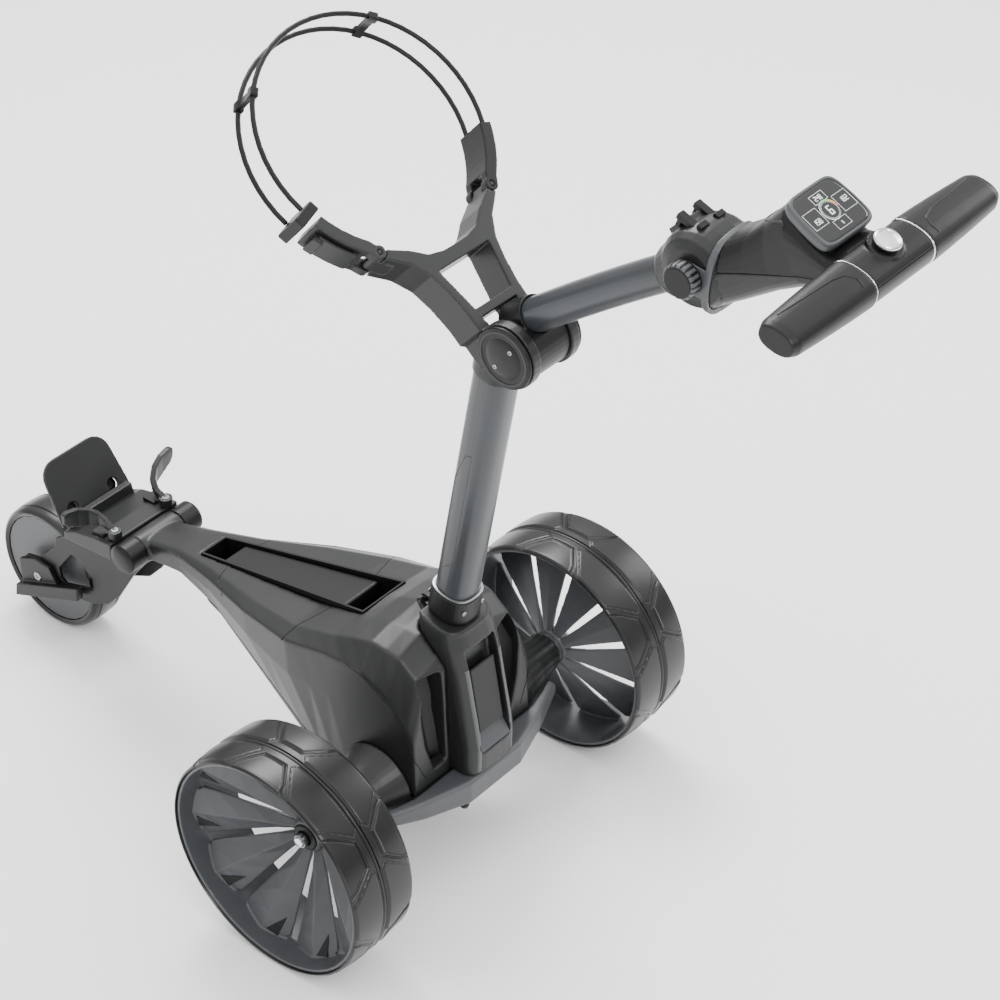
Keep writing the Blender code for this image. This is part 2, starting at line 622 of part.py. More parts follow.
def drive_group(chassis):
    """Motor, gearbox, controller, axle bearings and the conical axle housings."""
    axle_line = (0.0, 0.0, WHEEL_R)
    gear_x, gear_y, gear_z = GEARBOX_SIZE
    gearbox = link("gearbox", to_mesh("gearbox", block(GEARBOX_SIZE)), chassis, "steel",
                   (AXLE_INNER_END - gear_x / 2 - 2 * GAP, 0.0, WHEEL_R + 0.002))
    round_edges(gearbox, 0.006)
    motor_end = AXLE_INNER_END - gear_x - 3 * GAP
    link("drive_motor", to_mesh("drive_motor", rod(MOTOR_R, motor_end - MOTOR_LENGTH, motor_end,
         28)), chassis, "steel", axle_line, ALONG_X)
    link("controller", to_mesh("controller", block((0.110, 0.030, 0.020))), chassis,
         "dark_plastic", (0.0, -0.052, 0.150))
    for side in (1, -1):
        tag = "left" if side > 0 else "right"
        outwards = ALONG_X if side > 0 else ALONG_X @ Matrix.Rotation(math.pi, 3, "X")
        nose = TRACK_HALF - HUB_INSET - 0.0035
        low = HOUSING_BASE_X
        span = nose - low
        bearing_low = nose - 0.008 - BEARING_WIDTH
        bore = BEARING_R + GAP
        outline = [(HOUSING_BASE_R, low), (0.80 * HOUSING_BASE_R, low + 0.27 * span),
                   (0.60 * HOUSING_BASE_R, low + 0.60 * span),
                   (HOUSING_NOSE_R + 0.001, nose - 0.14 * span), (HOUSING_NOSE_R, nose),
                   (AXLE_R + 0.002, nose), (AXLE_R + 0.002, bearing_low + BEARING_WIDTH + GAP),
                   (bore, bearing_low + BEARING_WIDTH + GAP), (bore, bearing_low - 0.010),
                   (0.62 * HOUSING_BASE_R, low + 0.20 * span), (0.86 * HOUSING_BASE_R, low)]
        link("axle_housing_" + tag, to_mesh("axle_housing", turned(outline, 36)), chassis,
             "body_plastic", axle_line, outwards)
        link("bearing_" + tag, to_mesh("bearing", tube(AXLE_R + GAP, BEARING_R, bearing_low,
             bearing_low + BEARING_WIDTH, 28)), chassis, "steel", axle_line, outwards)
    for side in (1, -1):
        hole = link(f"shell_axle_hole_{side}", to_mesh("axle_hole", rod(
            AXLE_R + 0.003, 0.080, 0.104)), chassis, None, axle_line,
            ALONG_X if side > 0 else ALONG_X @ Matrix.Rotation(math.pi, 3, "X"))
        cut(bpy.data.objects["body_shell"], hole)
        cut(bpy.data.objects["undertray"], hole)


def latch_group(latch):
    """The pull plate in the rear pocket that frees the mast's fold."""
    def pocket_floor(z):
        return interpolate(TOWER_REAR, z) - POCKET_DEPTH + 0.004

    low = pocket_floor(LATCH_LOW_Z)
    high = pocket_floor(LATCH_HIGH_Z)
    half = POCKET_HALF_WIDTH - 0.004
    plate = slab([(low, LATCH_LOW_Z), (low + LATCH_THICK, LATCH_LOW_Z),
                  (high + LATCH_THICK, LATCH_HIGH_Z), (high, LATCH_HIGH_Z)],
                 -half, half, lambda u, v, w: Vector((w, u, v)))
    piece = link("latch_plate", to_mesh("latch_plate", plate), latch, "dark_plastic")
    round_edges(piece, 0.001)


# ---------------------------------------------------------------- front unit
def side_plate(outline, low, high):
    return slab(outline, low, high, lambda u, v, w: Vector((w, u, v)))


FORK_OUTLINE = [(-0.452, 0.2070), (-0.4705, 0.1962), (-0.530, 0.1922), (-0.556, 0.1892),
                (-0.598, 0.161), (-0.601, 0.147), (-0.634, 0.112), (-0.660, 0.106),
                (-0.672, 0.094), (-0.664, 0.078), (-0.640, 0.068), (-0.615, 0.069),
                (-0.590, 0.076), (-0.544, 0.084), (-0.512, 0.099), (-0.489, 0.123),
                (-0.458, 0.170), (-0.436, 0.197)]
FORK_WINDOW = [(-0.572, 0.147), (-0.599, 0.114), (-0.598, 0.098), (-0.590, 0.093),
               (-0.538, 0.109), (-0.537, 0.126), (-0.559, 0.147)]


def front_unit(front):
    pivot = (0.0, FRONT_PIVOT_Y, FRONT_PIVOT_Z)
    for side in (1, -1):
        tag = "left" if side > 0 else "right"
        low, high = sorted((side * FORK_INNER, side * (FORK_INNER + FORK_THICK)))
        plate = link("fork_plate_" + tag, to_mesh("fork_plate", side_plate(
            FORK_OUTLINE, low, high)), front, "dark_plastic")
        ends = sorted((side * (KNUCKLE_INNER + GAP), side * KNUCKLE_OUTER))
        knuckle = link("fork_knuckle_" + tag, to_mesh("fork_knuckle", rod(
            KNUCKLE_R, ends[0], ends[1], 32)), front, None, pivot, ALONG_X)
        window = link("fork_window_" + tag, to_mesh("fork_window", side_plate(
            FORK_WINDOW, low - 0.01, high + 0.01)), front, None)
        bores = [link("fork_pin_bore_" + tag, to_mesh("bore", rod(PIN_R + GAP, -0.1, 0.1)),
                      front, None, pivot, ALONG_X),
                 link("fork_axle_bore_" + tag, to_mesh("bore", rod(0.0053, -0.1, 0.1)), front,
                      None, (0.0, FRONT_AXLE_Y, FRONT_WHEEL_R), ALONG_X)]
        cut(fuse(plate, knuckle), window, *bores)
    link("fold_pin", to_mesh("fold_pin", rod(PIN_R, -0.056, 0.056)), front, "steel", pivot,
         ALONG_X)
    bridge_side = [(-0.4707, 0.2225), (-0.500, 0.2200), (-0.533, 0.2130), (-0.556, 0.2030),
                   (-0.5565, 0.1920), (-0.530, 0.1925 + GAP), (-0.4707, 0.1965 + GAP)]
    bridge = link("fork_bridge", to_mesh("fork_bridge", side_plate(bridge_side, -0.057, 0.057)),
                  front, "body_plastic")
    round_edges(bridge, 0.002)
    link("front_axle", to_mesh("front_axle", rod(0.005, -0.044, 0.044)), front, "steel",
         (0.0, FRONT_AXLE_Y, FRONT_WHEEL_R), ALONG_X)
    paddle(front)
    adjuster(front)


def paddle(front):
    """The bag's base plate, an upright pad with two drain holes."""
    lean = math.radians(PADDLE_TILT)
    up = Vector((0.0, -math.sin(lean), math.cos(lean)))
    out = Vector((0.0, math.cos(lean), math.sin(lean)))
    foot = Vector((0.0, -0.5575, 0.2065))
    half = PADDLE_WIDTH / 2
    corner = 0.024
    top = PADDLE_HEIGHT
    outline = [(-half, 0.0), (half, 0.0), (half - 0.004, top - corner)]
    outline += arc(corner, 0, 90, 6, (half - 0.004 - corner, top - corner))[1:]
    outline += arc(corner, 90, 180, 6, (-half + 0.004 + corner, top - corner))
    place = lambda u, v, w: foot + ACROSS * u + up * v + out * w
    plate = link("bag_paddle", to_mesh("bag_paddle", slab(outline, 0.0, PADDLE_THICK, place)),
                 front, "body_plastic")
    for side in (1, -1):
        hole = slab(arc(0.0085, 0, 345, 24, (side * 0.0327, 0.014)), -0.01, 0.02, place)
        cut(plate, link(f"drain_{side}", to_mesh("drain", hole), front, None))


def adjuster(front):
    """The wheel-tracking adjuster: a slotted bar and bracket outside the left fork plate."""
    inner = FORK_INNER + FORK_THICK + GAP
    bar = side_plate([(-0.676, 0.042), (-0.672, 0.062), (-0.552, 0.111), (-0.554, 0.091)],
                     inner + 0.004, inner + 0.014)
    piece = link("tracking_adjuster", to_mesh("tracking_adjuster", bar), front, "dark_plastic")
    bracket = side_plate([(-0.668, 0.060), (-0.600, 0.088), (-0.612, 0.110), (-0.640, 0.112),
                          (-0.668, 0.100)], inner, inner + 0.006)
    holder = link("tracking_bracket", to_mesh("tracking_bracket", bracket), front, None)
    axle_bore = link("tracking_bore", to_mesh("tracking_bore", rod(0.0053, 0.0, 0.1)), front,
                     None, (0.0, FRONT_AXLE_Y, FRONT_WHEEL_R), ALONG_X)
    cut(fuse(piece, holder), axle_bore)


def front_wheel(spin):
    centre = (0.0, FRONT_AXLE_Y, FRONT_WHEEL_R)
    half = FRONT_WHEEL_WIDTH / 2
    radius = FRONT_WHEEL_R
    seat = radius - 0.0115
    tread = [(seat, -half + 0.002), (radius - 0.006, -half), (radius - 0.0015, -half + 0.005),
             (radius, -half + 0.013), (radius, half - 0.013), (radius - 0.0015, half - 0.005),
             (radius - 0.006, half), (seat, half - 0.002)]
    link("front_tyre", to_mesh("front_tyre", turned(tread, 36)), spin, "tyre_rubber", centre,
         ALONG_X)
    rim_r = seat - GAP
    web = [(0.0053, -0.022), (0.012, -0.022), (0.020, -0.010), (0.062, -0.016),
           (rim_r, -half + 0.003), (rim_r, half - 0.003), (0.062, 0.016), (0.020, 0.010),
           (0.012, 0.022), (0.0053, 0.022)]
    link("front_rim", to_mesh("front_rim", turned(web, 32)), spin, "grey_plastic", centre,
         ALONG_X)


def support_arm(side, swing):
    """A curved blade that cradles the foot of the bag; it swings about its lug's screw."""
    tag = "left" if side > 0 else "right"
    lug_z = 0.2230
    lug = rod(0.0085, lug_z + GAP, lug_z + 0.009, 20)
    arm = link("support_arm_" + tag, to_mesh("support_arm", lug), swing, "body_plastic",
               (side * 0.0429, -0.4761, 0.0))
    path = [(0.0429, -0.4770, 0.2275, 0.007), (0.0415, -0.4890, 0.2335, 0.009),
            (0.0450, -0.4990, 0.2420, 0.014), (0.0560, -0.5060, 0.2470, 0.019),
            (0.0700, -0.5090, 0.2515, 0.021), (0.0850, -0.5100, 0.2560, 0.017)]
    rings = []
    for i, (x, y, z, tall) in enumerate(path):
        before = Vector(path[max(i - 1, 0)][:3])
        after = Vector(path[min(i + 1, len(path) - 1)][:3])
        along = (after - before).normalized()
        sideways = along.cross(Vector((0, 0, 1))).normalized()
        middle = Vector((x, y, z))
        rise = Vector((0, 0, tall / 2))
        half = sideways * 0.0021
        ring = [middle - half - rise, middle + half - rise, middle + half + rise,
                middle - half + rise]
        rings.append([Vector((side * p.x, p.y, p.z)) for p in ring])
    blade = link("arm_blade_" + tag, to_mesh("arm_blade", loft(rings)), swing, None)
    fuse(arm, blade)


# ---------------------------------------------------------------- lower mast


def mast_ring(height, grow, count=32, power=2.6):
    return ellipse(MAST_FOOT + MAST_UP * height, ACROSS, MAST_OUT, MAST_WIDTH / 2 + grow,
                   MAST_DEPTH / 2 + grow, count, power)


def mast_piece(low, high, grow, bore):
    """A length of mast tubing or sleeve, open along its middle when bore is given."""
    outer = loft([mast_ring(low, grow), mast_ring(high, grow)])
    inner = loft([mast_ring(low - 0.01, bore), mast_ring(high + 0.01, bore)])
    return outer, inner


def lower_mast(mast):
    outer, inner = mast_piece(0.004, MAST_TUBE_END, 0.0, -0.0022)
    post = link("lower_tube", to_mesh("lower_tube", outer), mast, "tube_paint")
    cut(post, link("lower_tube_bore", to_mesh("lower_tube_bore", inner), mast, None))
    sleeve = loft([mast_ring(0.0, COLLAR_THICK - 0.0008), mast_ring(0.003, COLLAR_THICK),
                   mast_ring(COLLAR_LENGTH - 0.002, COLLAR_THICK),
                   mast_ring(COLLAR_LENGTH, COLLAR_THICK - 0.0015)])
    collar = link("mast_collar", to_mesh("mast_collar", sleeve), mast, "dark_plastic")
    seat = loft([mast_ring(0.004 - GAP, GAP), mast_ring(COLLAR_LENGTH + 0.01, GAP)])
    lug = link("mast_lug", to_mesh("mast_lug", rod(LUG_R, -LUG_HALF, LUG_HALF, 20)), mast, None,
               (0.0, MAST_PIVOT_Y, MAST_PIVOT_Z), ALONG_X)
    strap = link("lug_strap", to_mesh("lug_strap", block((2 * LUG_HALF, 0.0105, 0.007),
                 (0.0, 0.00425, MAST_PIVOT_Z + 0.0015))), mast, None)
    fuse(collar, lug, strap)
    cut(collar, link("collar_seat", to_mesh("collar_seat", seat), mast, None),
        link("lug_bore", to_mesh("lug_bore", rod(0.0022 + GAP, -0.03, 0.03, 16)), mast, None,
             (0.0, MAST_PIVOT_Y, MAST_PIVOT_Z), ALONG_X))
    bag_bracket(mast)
    for number, side in enumerate((1, -1)):
        ends = sorted((side * (CHEEK_OUTER + GAP), side * (CHEEK_OUTER + CAP_THICK)))
        tag = "left" if side > 0 else "right"
        cap = link("hinge_cap_" + tag, to_mesh("hinge_cap", rod(HINGE_R - 0.0015, *ends, 40)),
                   mast, "dark_plastic", (0.0, HINGE_Y, HINGE_Z), ALONG_X)
        round_edges(cap, 0.0012, 1)
    link("hinge_pin", to_mesh("hinge_pin", rod(PIN_R, -CHEEK_OUTER, CHEEK_OUTER)), mast, "steel",
         (0.0, HINGE_Y, HINGE_Z), ALONG_X)


TILT = math.radians(RING_TILT)
RING_CENTRE = Vector((0.0, RING_Y, RING_Z))
RING_FORE = Vector((0.0, -math.cos(TILT), math.sin(TILT)))
RING_UP = Vector((0.0, math.sin(TILT), math.cos(TILT)))


def ring_place(x, s, n):
    """A point in the bag ring's plane: across, along and above it."""
    return RING_CENTRE + ACROSS * x + RING_FORE * s + RING_UP * n


def bag_bracket(mast):
    """The Y-shaped casting: two arms that hold the ring, two legs and the hinge's cheeks."""
    half = [(0.0765, -0.1085), (0.053, -0.1215), (0.036, -0.1345), (0.018, -0.1390),
            (0.0, -0.1395)]
    outer = [(0.0, -0.256), (0.0335, -0.256), (0.0335, -0.2295), (0.0385, -0.2262),
             (0.0390, -0.204),
             (0.0427, -0.1784), (0.049, -0.155), (0.062, -0.1345), (0.0835, -0.1165)]
    right = half[::-1] + outer[::-1][:-1]
    left = [(-x, s) for x, s in reversed(right[1:])]
    outline = right + left[:1] + left[1:]
    depth = BRACKET_HALF_DEPTH
    casting = link("bag_bracket", to_mesh("bag_bracket", slab(
        tidy_outline(outline), -depth, depth, ring_place)), mast, "body_plastic", sharp=30.0)
    cheek_tools = []
    for side in (1, -1):
        ends = sorted((side * (BARREL_HALF - 0.002), side * CHEEK_OUTER))
        cheek_tools.append(link(f"hinge_cheek_{side}", to_mesh("hinge_cheek", tube(
            PIN_R + GAP, HINGE_R, *ends, 32)), mast, None, (0.0, HINGE_Y, HINGE_Z), ALONG_X))
    neck = loft([mast_ring(MAST_TUBE_END + GAP, 0.0018), mast_ring(MAST_TUBE_END + 0.040, 0.0018)])
    spigot = loft([mast_ring(MAST_TUBE_END - 0.030, -0.0026),
                   mast_ring(MAST_TUBE_END + 0.010, -0.0026)])
    fuse(casting, *cheek_tools, link("mast_neck", to_mesh("mast_neck", neck), mast, None),
         link("mast_spigot", to_mesh("mast_spigot", spigot), mast, None))
    big = [(-0.0375, -0.1545), (0.0375, -0.1545), (0.0270, -0.2055), (-0.0270, -0.2055)]
    small = [(-0.0262, -0.2160), (0.0262, -0.2160), (0.0232, -0.2300), (-0.0232, -0.2300)]
    tools = [slab(big, -0.03, 0.03, ring_place), slab(small, -0.03, 0.03, ring_place)]
    barrel_room = link("barrel_room", to_mesh("barrel_room", rod(
        HINGE_R + 0.001, -BARREL_HALF - GAP, BARREL_HALF + GAP, 40)), mast, None,
        (0.0, HINGE_Y, HINGE_Z), ALONG_X)
    tools += [slab(arc(HEEL_R + 2 * GAP, 0, 345, 24, (side * ARM_PIVOT_X, ARM_PIVOT_S)),
                   -0.03, 0.03, ring_place) for side in (1, -1)]
    cut(casting, barrel_room, *(link(f"bracket_room_{i}", to_mesh("bracket_room", bm), mast,
                                     None) for i, bm in enumerate(tools)))
    for side in (1, -1):
        tongue = slab(tongue_outline(side), -0.0100, 0.0100, ring_place)
        pin = slab(arc(0.003, 0, 337.5, 16, (side * ARM_PIVOT_X, ARM_PIVOT_S)), -0.0205, 0.0205,
                   ring_place)
        fuse(casting, link(f"arm_tongue_{side}", to_mesh("arm_tongue", tongue), mast, None),
             link(f"arm_pin_{side}", to_mesh("arm_pin", pin), mast, None))
    weld(casting)


def tidy_outline(points):
    """Drops points that repeat the one before them."""
    kept = []
    for point in points:
        if not kept or (Vector(point) - Vector(kept[-1])).length > 1e-6:
            kept.append(point)
    return kept


def tongue_outline(side):
    """A tongue from the arm's end to round the ring arm's pivot."""
    pivot = Vector((ARM_PIVOT_X, ARM_PIVOT_S))
    root = Vector((0.0700, -0.1225))
    along = (pivot - root).normalized()
    across = Vector((-along.y, along.x))
    tip = [pivot + (along * math.cos(a) + across * math.sin(a)) * 0.0055
           for a in (math.radians(t) for t in range(-90, 91, 30))]
    points = [root - across * 0.0055] + tip + [root + across * 0.0055]
    return [(side * p.x, p.y) for p in points]


def ring_arm(name, side, owner, slot):
    """A curved end arm of the bag ring, slotted over the bracket's tongue."""
    pivot = Vector((side * ARM_PIVOT_X, ARM_PIVOT_S))
    radial = pivot.normalized()
    tangent = Vector((side * -radial.y, abs(radial.x)))

    def bend(radius, angles):
        return [(side * radius * math.sin(math.radians(t)), -radius * math.cos(math.radians(t)))
                for t in angles]

    steps = [ARM_START + (ARM_END - ARM_START) * i / 7 for i in range(8)]
    heel = [tuple(pivot + (radial * math.cos(math.radians(t)) +
                           tangent * math.sin(math.radians(t))) * HEEL_R)
            for t in range(30, -211, -30)]
    outline = bend(ARM_OUTER_R, steps[::-1]) + heel + bend(ARM_INNER_R, steps)
    arm = link(name, to_mesh(name, slab(outline, -BRACKET_HALF_DEPTH, BRACKET_HALF_DEPTH,
               ring_place)), owner, slot, sharp=25.0)
    room = slab(arc(0.0140, 0, 345, 24, pivot), -0.0106, 0.0106, ring_place)
    bore = slab(arc(0.003 + GAP, 0, 337.5, 16, pivot), -0.03, 0.03, ring_place)
    cut(arm, link(name + "_slot", to_mesh("slot", room), owner, None),
        link(name + "_bore", to_mesh("bore", bore), owner, None))
    return arm


def ring_loop(lever, loop):
    """The lever on the left, and the wire loop with its end piece and end block."""
    ring_arm("strap_lever", 1, lever, "body_plastic")
    ring_arm("ring_end_piece", -1, loop, "dark_plastic")
    angle = math.radians(END_BLOCK_ANGLE)
    radial = Vector((math.sin(angle), -math.cos(angle)))
    tangent = Vector((math.cos(angle), math.sin(angle)))
    middle = radial * ((ARM_INNER_R + ARM_OUTER_R) / 2 + 0.0015)
    length, thick, depth = END_BLOCK_SIZE
    corners = [middle + radial * (u * length / 2) + tangent * (v * thick / 2)
               for u, v in ((-1, -1), (1, -1), (1, 1), (-1, 1))]
    end_block = link("wire_end_block", to_mesh("wire_end_block", slab(
        [tuple(c) for c in corners], -depth / 2, depth / 2, ring_place)), loop, "dark_plastic")
    round_edges(end_block, 0.0015)
    count = 34
    for name, level in (("wire_upper", WIRE_OFFSET), ("wire_lower", -WIRE_OFFSET)):
        points = []
        for i in range(count):
            a = math.radians(-112.6 + (112.6 + 104.3) * i / (count - 1))
            points.append(ring_place(RING_HALF_WIDTH * math.sin(a),
                                     RING_HALF_LENGTH * math.cos(a), level))
        link(name, to_mesh(name, sweep(points, WIRE_R)), loop, "dark_plastic", sharp=60.0)


# ---------------------------------------------------------------- upper mast
def in_plane(y, z):
    return Vector((0.0, y, z))


def upper_path(count=7):
    """The upper tube's axis, a shallow arc through three points."""
    start, middle, end = (Vector((0.0, *p)) for p in (UPPER_START, UPPER_MIDDLE, UPPER_END))
    control = middle * 2 - (start + end) / 2
    points = []
    for i in range(count):
        t = i / (count - 1)
        points.append(start * (1 - t) ** 2 + control * (2 * t * (1 - t)) + end * t ** 2)
    return points


def upper_mast(upper):
    path = upper_path()
    start_dir = (path[1] - path[0]).normalized()
    end_dir = (path[-1] - path[-2]).normalized()
    low = path[0] - start_dir * 0.018
    high = path[-1] + end_dir * 0.012
    axis = [low] + path + [high]
    tube_piece = link("upper_tube", to_mesh("upper_tube", sweep(axis, UPPER_R, 24)), upper,
                      "tube_paint")
    bore_axis = [low - start_dir * 0.01] + path + [high + end_dir * 0.01]
    cut(tube_piece, link("upper_tube_bore", to_mesh("upper_tube_bore", sweep(
        bore_axis, UPPER_R - 0.002, 24)), upper, None))

    hinge = (0.0, HINGE_Y, HINGE_Z)
    socket = link("hinge_socket", to_mesh("hinge_socket", rod(BARREL_R, -BARREL_HALF,
                  BARREL_HALF, 36)), upper, "dark_plastic", hinge, ALONG_X)
    sleeve = link("socket_sleeve", to_mesh("socket_sleeve", rod(0.0216, -0.033, 0.002, 32)),
                  upper, None, path[0], facing(start_dir))
    room = link("socket_room", to_mesh("socket_room", rod(
        UPPER_R + GAP, -0.0183, 0.01, 28)), upper, None, path[0], facing(start_dir))
    bore = link("socket_bore", to_mesh("socket_bore", rod(PIN_R + GAP, -0.05, 0.05)), upper,
                None, hinge, ALONG_X)
    weld(cut(fuse(socket, sleeve), room, bore))

    tilt = (0.0, TILT_Y, TILT_Z)
    clamp = link("mast_clamp", to_mesh("mast_clamp", clamp_barrel(0.0)), upper,
                 "body_plastic", tilt, ALONG_X)
    nose = loft([ellipse(path[-1] + end_dir * d, ACROSS, end_dir.cross(ACROSS), w, h, 24)
                 for d, w, h in ((-0.004, 0.0240, 0.0245), (0.000, 0.0262, 0.0268),
                                 (0.030, 0.0325, 0.0375))])
    seat = link("clamp_seat", to_mesh("clamp_seat", rod(UPPER_R + GAP, -0.02, 0.0123, 28)),
                upper, None, path[-1], facing(end_dir))
    bolt_bore = link("clamp_bore", to_mesh("clamp_bore", rod(0.0045, -0.05, 0.05, 20)), upper,
                     None, tilt, ALONG_X)
    mount_at = in_plane(TILT_Y, TILT_Z) + clamp_up() * (CLAMP_R - 0.003)
    mount = link("mount_foot", to_mesh("mount_foot", block((0.022, 0.030, 0.012))), upper, None,
                 mount_at, facing(clamp_up()))
    cut(fuse(clamp, link("clamp_nose", to_mesh("clamp_nose", nose), upper, None), mount),
        seat, bolt_bore)


def clamp_barrel(grow):
    """The clamp's rounded drum about the tilt axis, grown by a clearance."""
    half = CLAMP_HALF_WIDTH + grow / 2
    right = [(0.60, 1.00), (0.82, 0.90), (0.94, 0.68), (1.00, 0.30)]
    profile = [(r * CLAMP_R + grow, x * half) for r, x in right]
    profile = [(0.0, half)] + profile + [(r, -x) for r, x in reversed(profile)] + [(0.0, -half)]
    return turned(profile, 32, closed=False)


def clamp_up():
    return Vector((0.0, -math.sin(math.radians(43.0)), math.cos(math.radians(43.0))))


# ---------------------------------------------------------------- handle
FLANGE_OUT = Vector((0.0, math.cos(math.radians(FLANGE_LEAN)),
                     -math.sin(math.radians(FLANGE_LEAN))))
FLANGE_UP = Vector((0.0, math.sin(math.radians(FLANGE_LEAN)),
                    math.cos(math.radians(FLANGE_LEAN))))
# Stations down the housing's neck: low point, high point (y, z each) and half width.
NECK_STATIONS = [((0.3922, 0.8835), (0.4034, 0.9650), 0.0335),
                 ((0.4250, 0.9040), (0.4240, 0.9790), 0.0315),
                 ((0.4600, 0.9270), (0.4430, 0.9980), 0.0310),
                 ((0.4900, 0.9430), (0.4630, 1.0215), 0.0330),
                 ((0.5120, 0.9520), (0.4850, 1.0110), 0.0350),
                 ((0.5330, 0.9600), (0.5150, 0.9960), 0.0370),
                 ((0.5480, 0.9680), (0.5420, 0.9990), 0.0385)]


def bar_ring(x, half_depth, half_height, y=BAR_Y, z=BAR_Z, count=28, power=2.4):
    dip = math.radians(BAR_TILT)
    fore = Vector((0.0, math.cos(dip), -math.sin(dip)))
    rise = Vector((0.0, math.sin(dip), math.cos(dip)))
    return ellipse((x, y, z), fore, rise, half_depth, half_height, count, power)


def neck_loft():
    rings = []
    for low, high, half in NECK_STATIONS:
        low, high = in_plane(*low), in_plane(*high)
        rings.append(ellipse((low + high) / 2, ACROSS, (high - low).normalized(), half,
                             (high - low).length / 2, 32, 3.0))
    return loft(rings)


def handle(owner, knob_owner, press, turn):
    tilt = (0.0, TILT_Y, TILT_Z)
    centre = in_plane(TILT_Y, TILT_Z)
    flange_mid = centre + FLANGE_OUT * FLANGE_OFFSET + FLANGE_UP * 0.003
    ring = loft([ellipse(flange_mid + FLANGE_OUT * d, ACROSS, FLANGE_UP, 0.0378, 0.0440, 32, 3.0)
                 for d in (0.0, FLANGE_THICK)])
    flange = link("flange_ring", to_mesh("flange_ring", ring), owner, "dark_plastic")
    ear_tools = []
    for side in (1, -1):
        low, high = sorted((side * (CLAMP_HALF_WIDTH + GAP), side * 0.0372))
        ear_tools.append(link(f"flange_ear_{side}", to_mesh("flange_ear", rod(EAR_R, low, high,
                         28)), owner, None, tilt, ALONG_X))
        reach = centre + FLANGE_OUT * (FLANGE_OFFSET / 2 + 0.003)
        ear_tools.append(link(f"ear_web_{side}", to_mesh("ear_web", loft(
            [[(x, *(reach + FLANGE_OUT * u + FLANGE_UP * v)[1:]) for u, v in
              ((-0.012, -EAR_R), (0.012, -EAR_R), (0.012, EAR_R), (-0.012, EAR_R))]
             for x in (low, high)])), owner, None))
    bolt_bore = link("ear_bore", to_mesh("ear_bore", rod(0.0045, -0.05, 0.05, 20)), owner, None,
                     tilt, ALONG_X)
    bowl_tool = link("flange_bowl", to_mesh("flange_bowl", clamp_barrel(0.0006)), owner,
                     None, tilt, ALONG_X)
    cut(fuse(flange, *ear_tools), bolt_bore, bowl_tool)

    housing(owner, bowl_tool)
    bar(owner)
    grip_knob = [(0.0, -0.0368), (0.004, -0.0368), (0.004, 0.0376), (SIDE_KNOB_R, 0.0376),
                 (SIDE_KNOB_R, 0.049), (SIDE_KNOB_R - 0.003, 0.052), (0.0, 0.052)]
    link("clamp_knob", to_mesh("clamp_knob", turned(grip_knob, 36, closed=False)), knob_owner,
         "dark_plastic", tilt, ALONG_X)

    lean = math.radians(KNOB_TILT)
    axis = Vector((0.0, math.sin(lean), math.cos(lean)))
    at = in_plane(KNOB_Y, KNOB_Z)
    stem_foot = -0.0052             # leaves room under it for the press travel
    stem = rod(0.004, stem_foot, 0.0095, 20)
    link("knob_stem", to_mesh("knob_stem", stem), press, "steel", at, facing(axis))
    top = 0.0128
    low = 0.003 + KNOB_TRAVEL + GAP
    cap = [(0.0, 0.0098), (0.004 + GAP, 0.0098), (0.004 + GAP, low), (KNOB_R - 0.001, low),
           (KNOB_R, low + 0.001), (KNOB_R, top - 0.002), (KNOB_R - 0.002, top), (0.0, top)]
    link("knob_cap", to_mesh("knob_cap", turned(cap, 32, closed=False)), turn, "silver_trim",
         at, facing(axis))


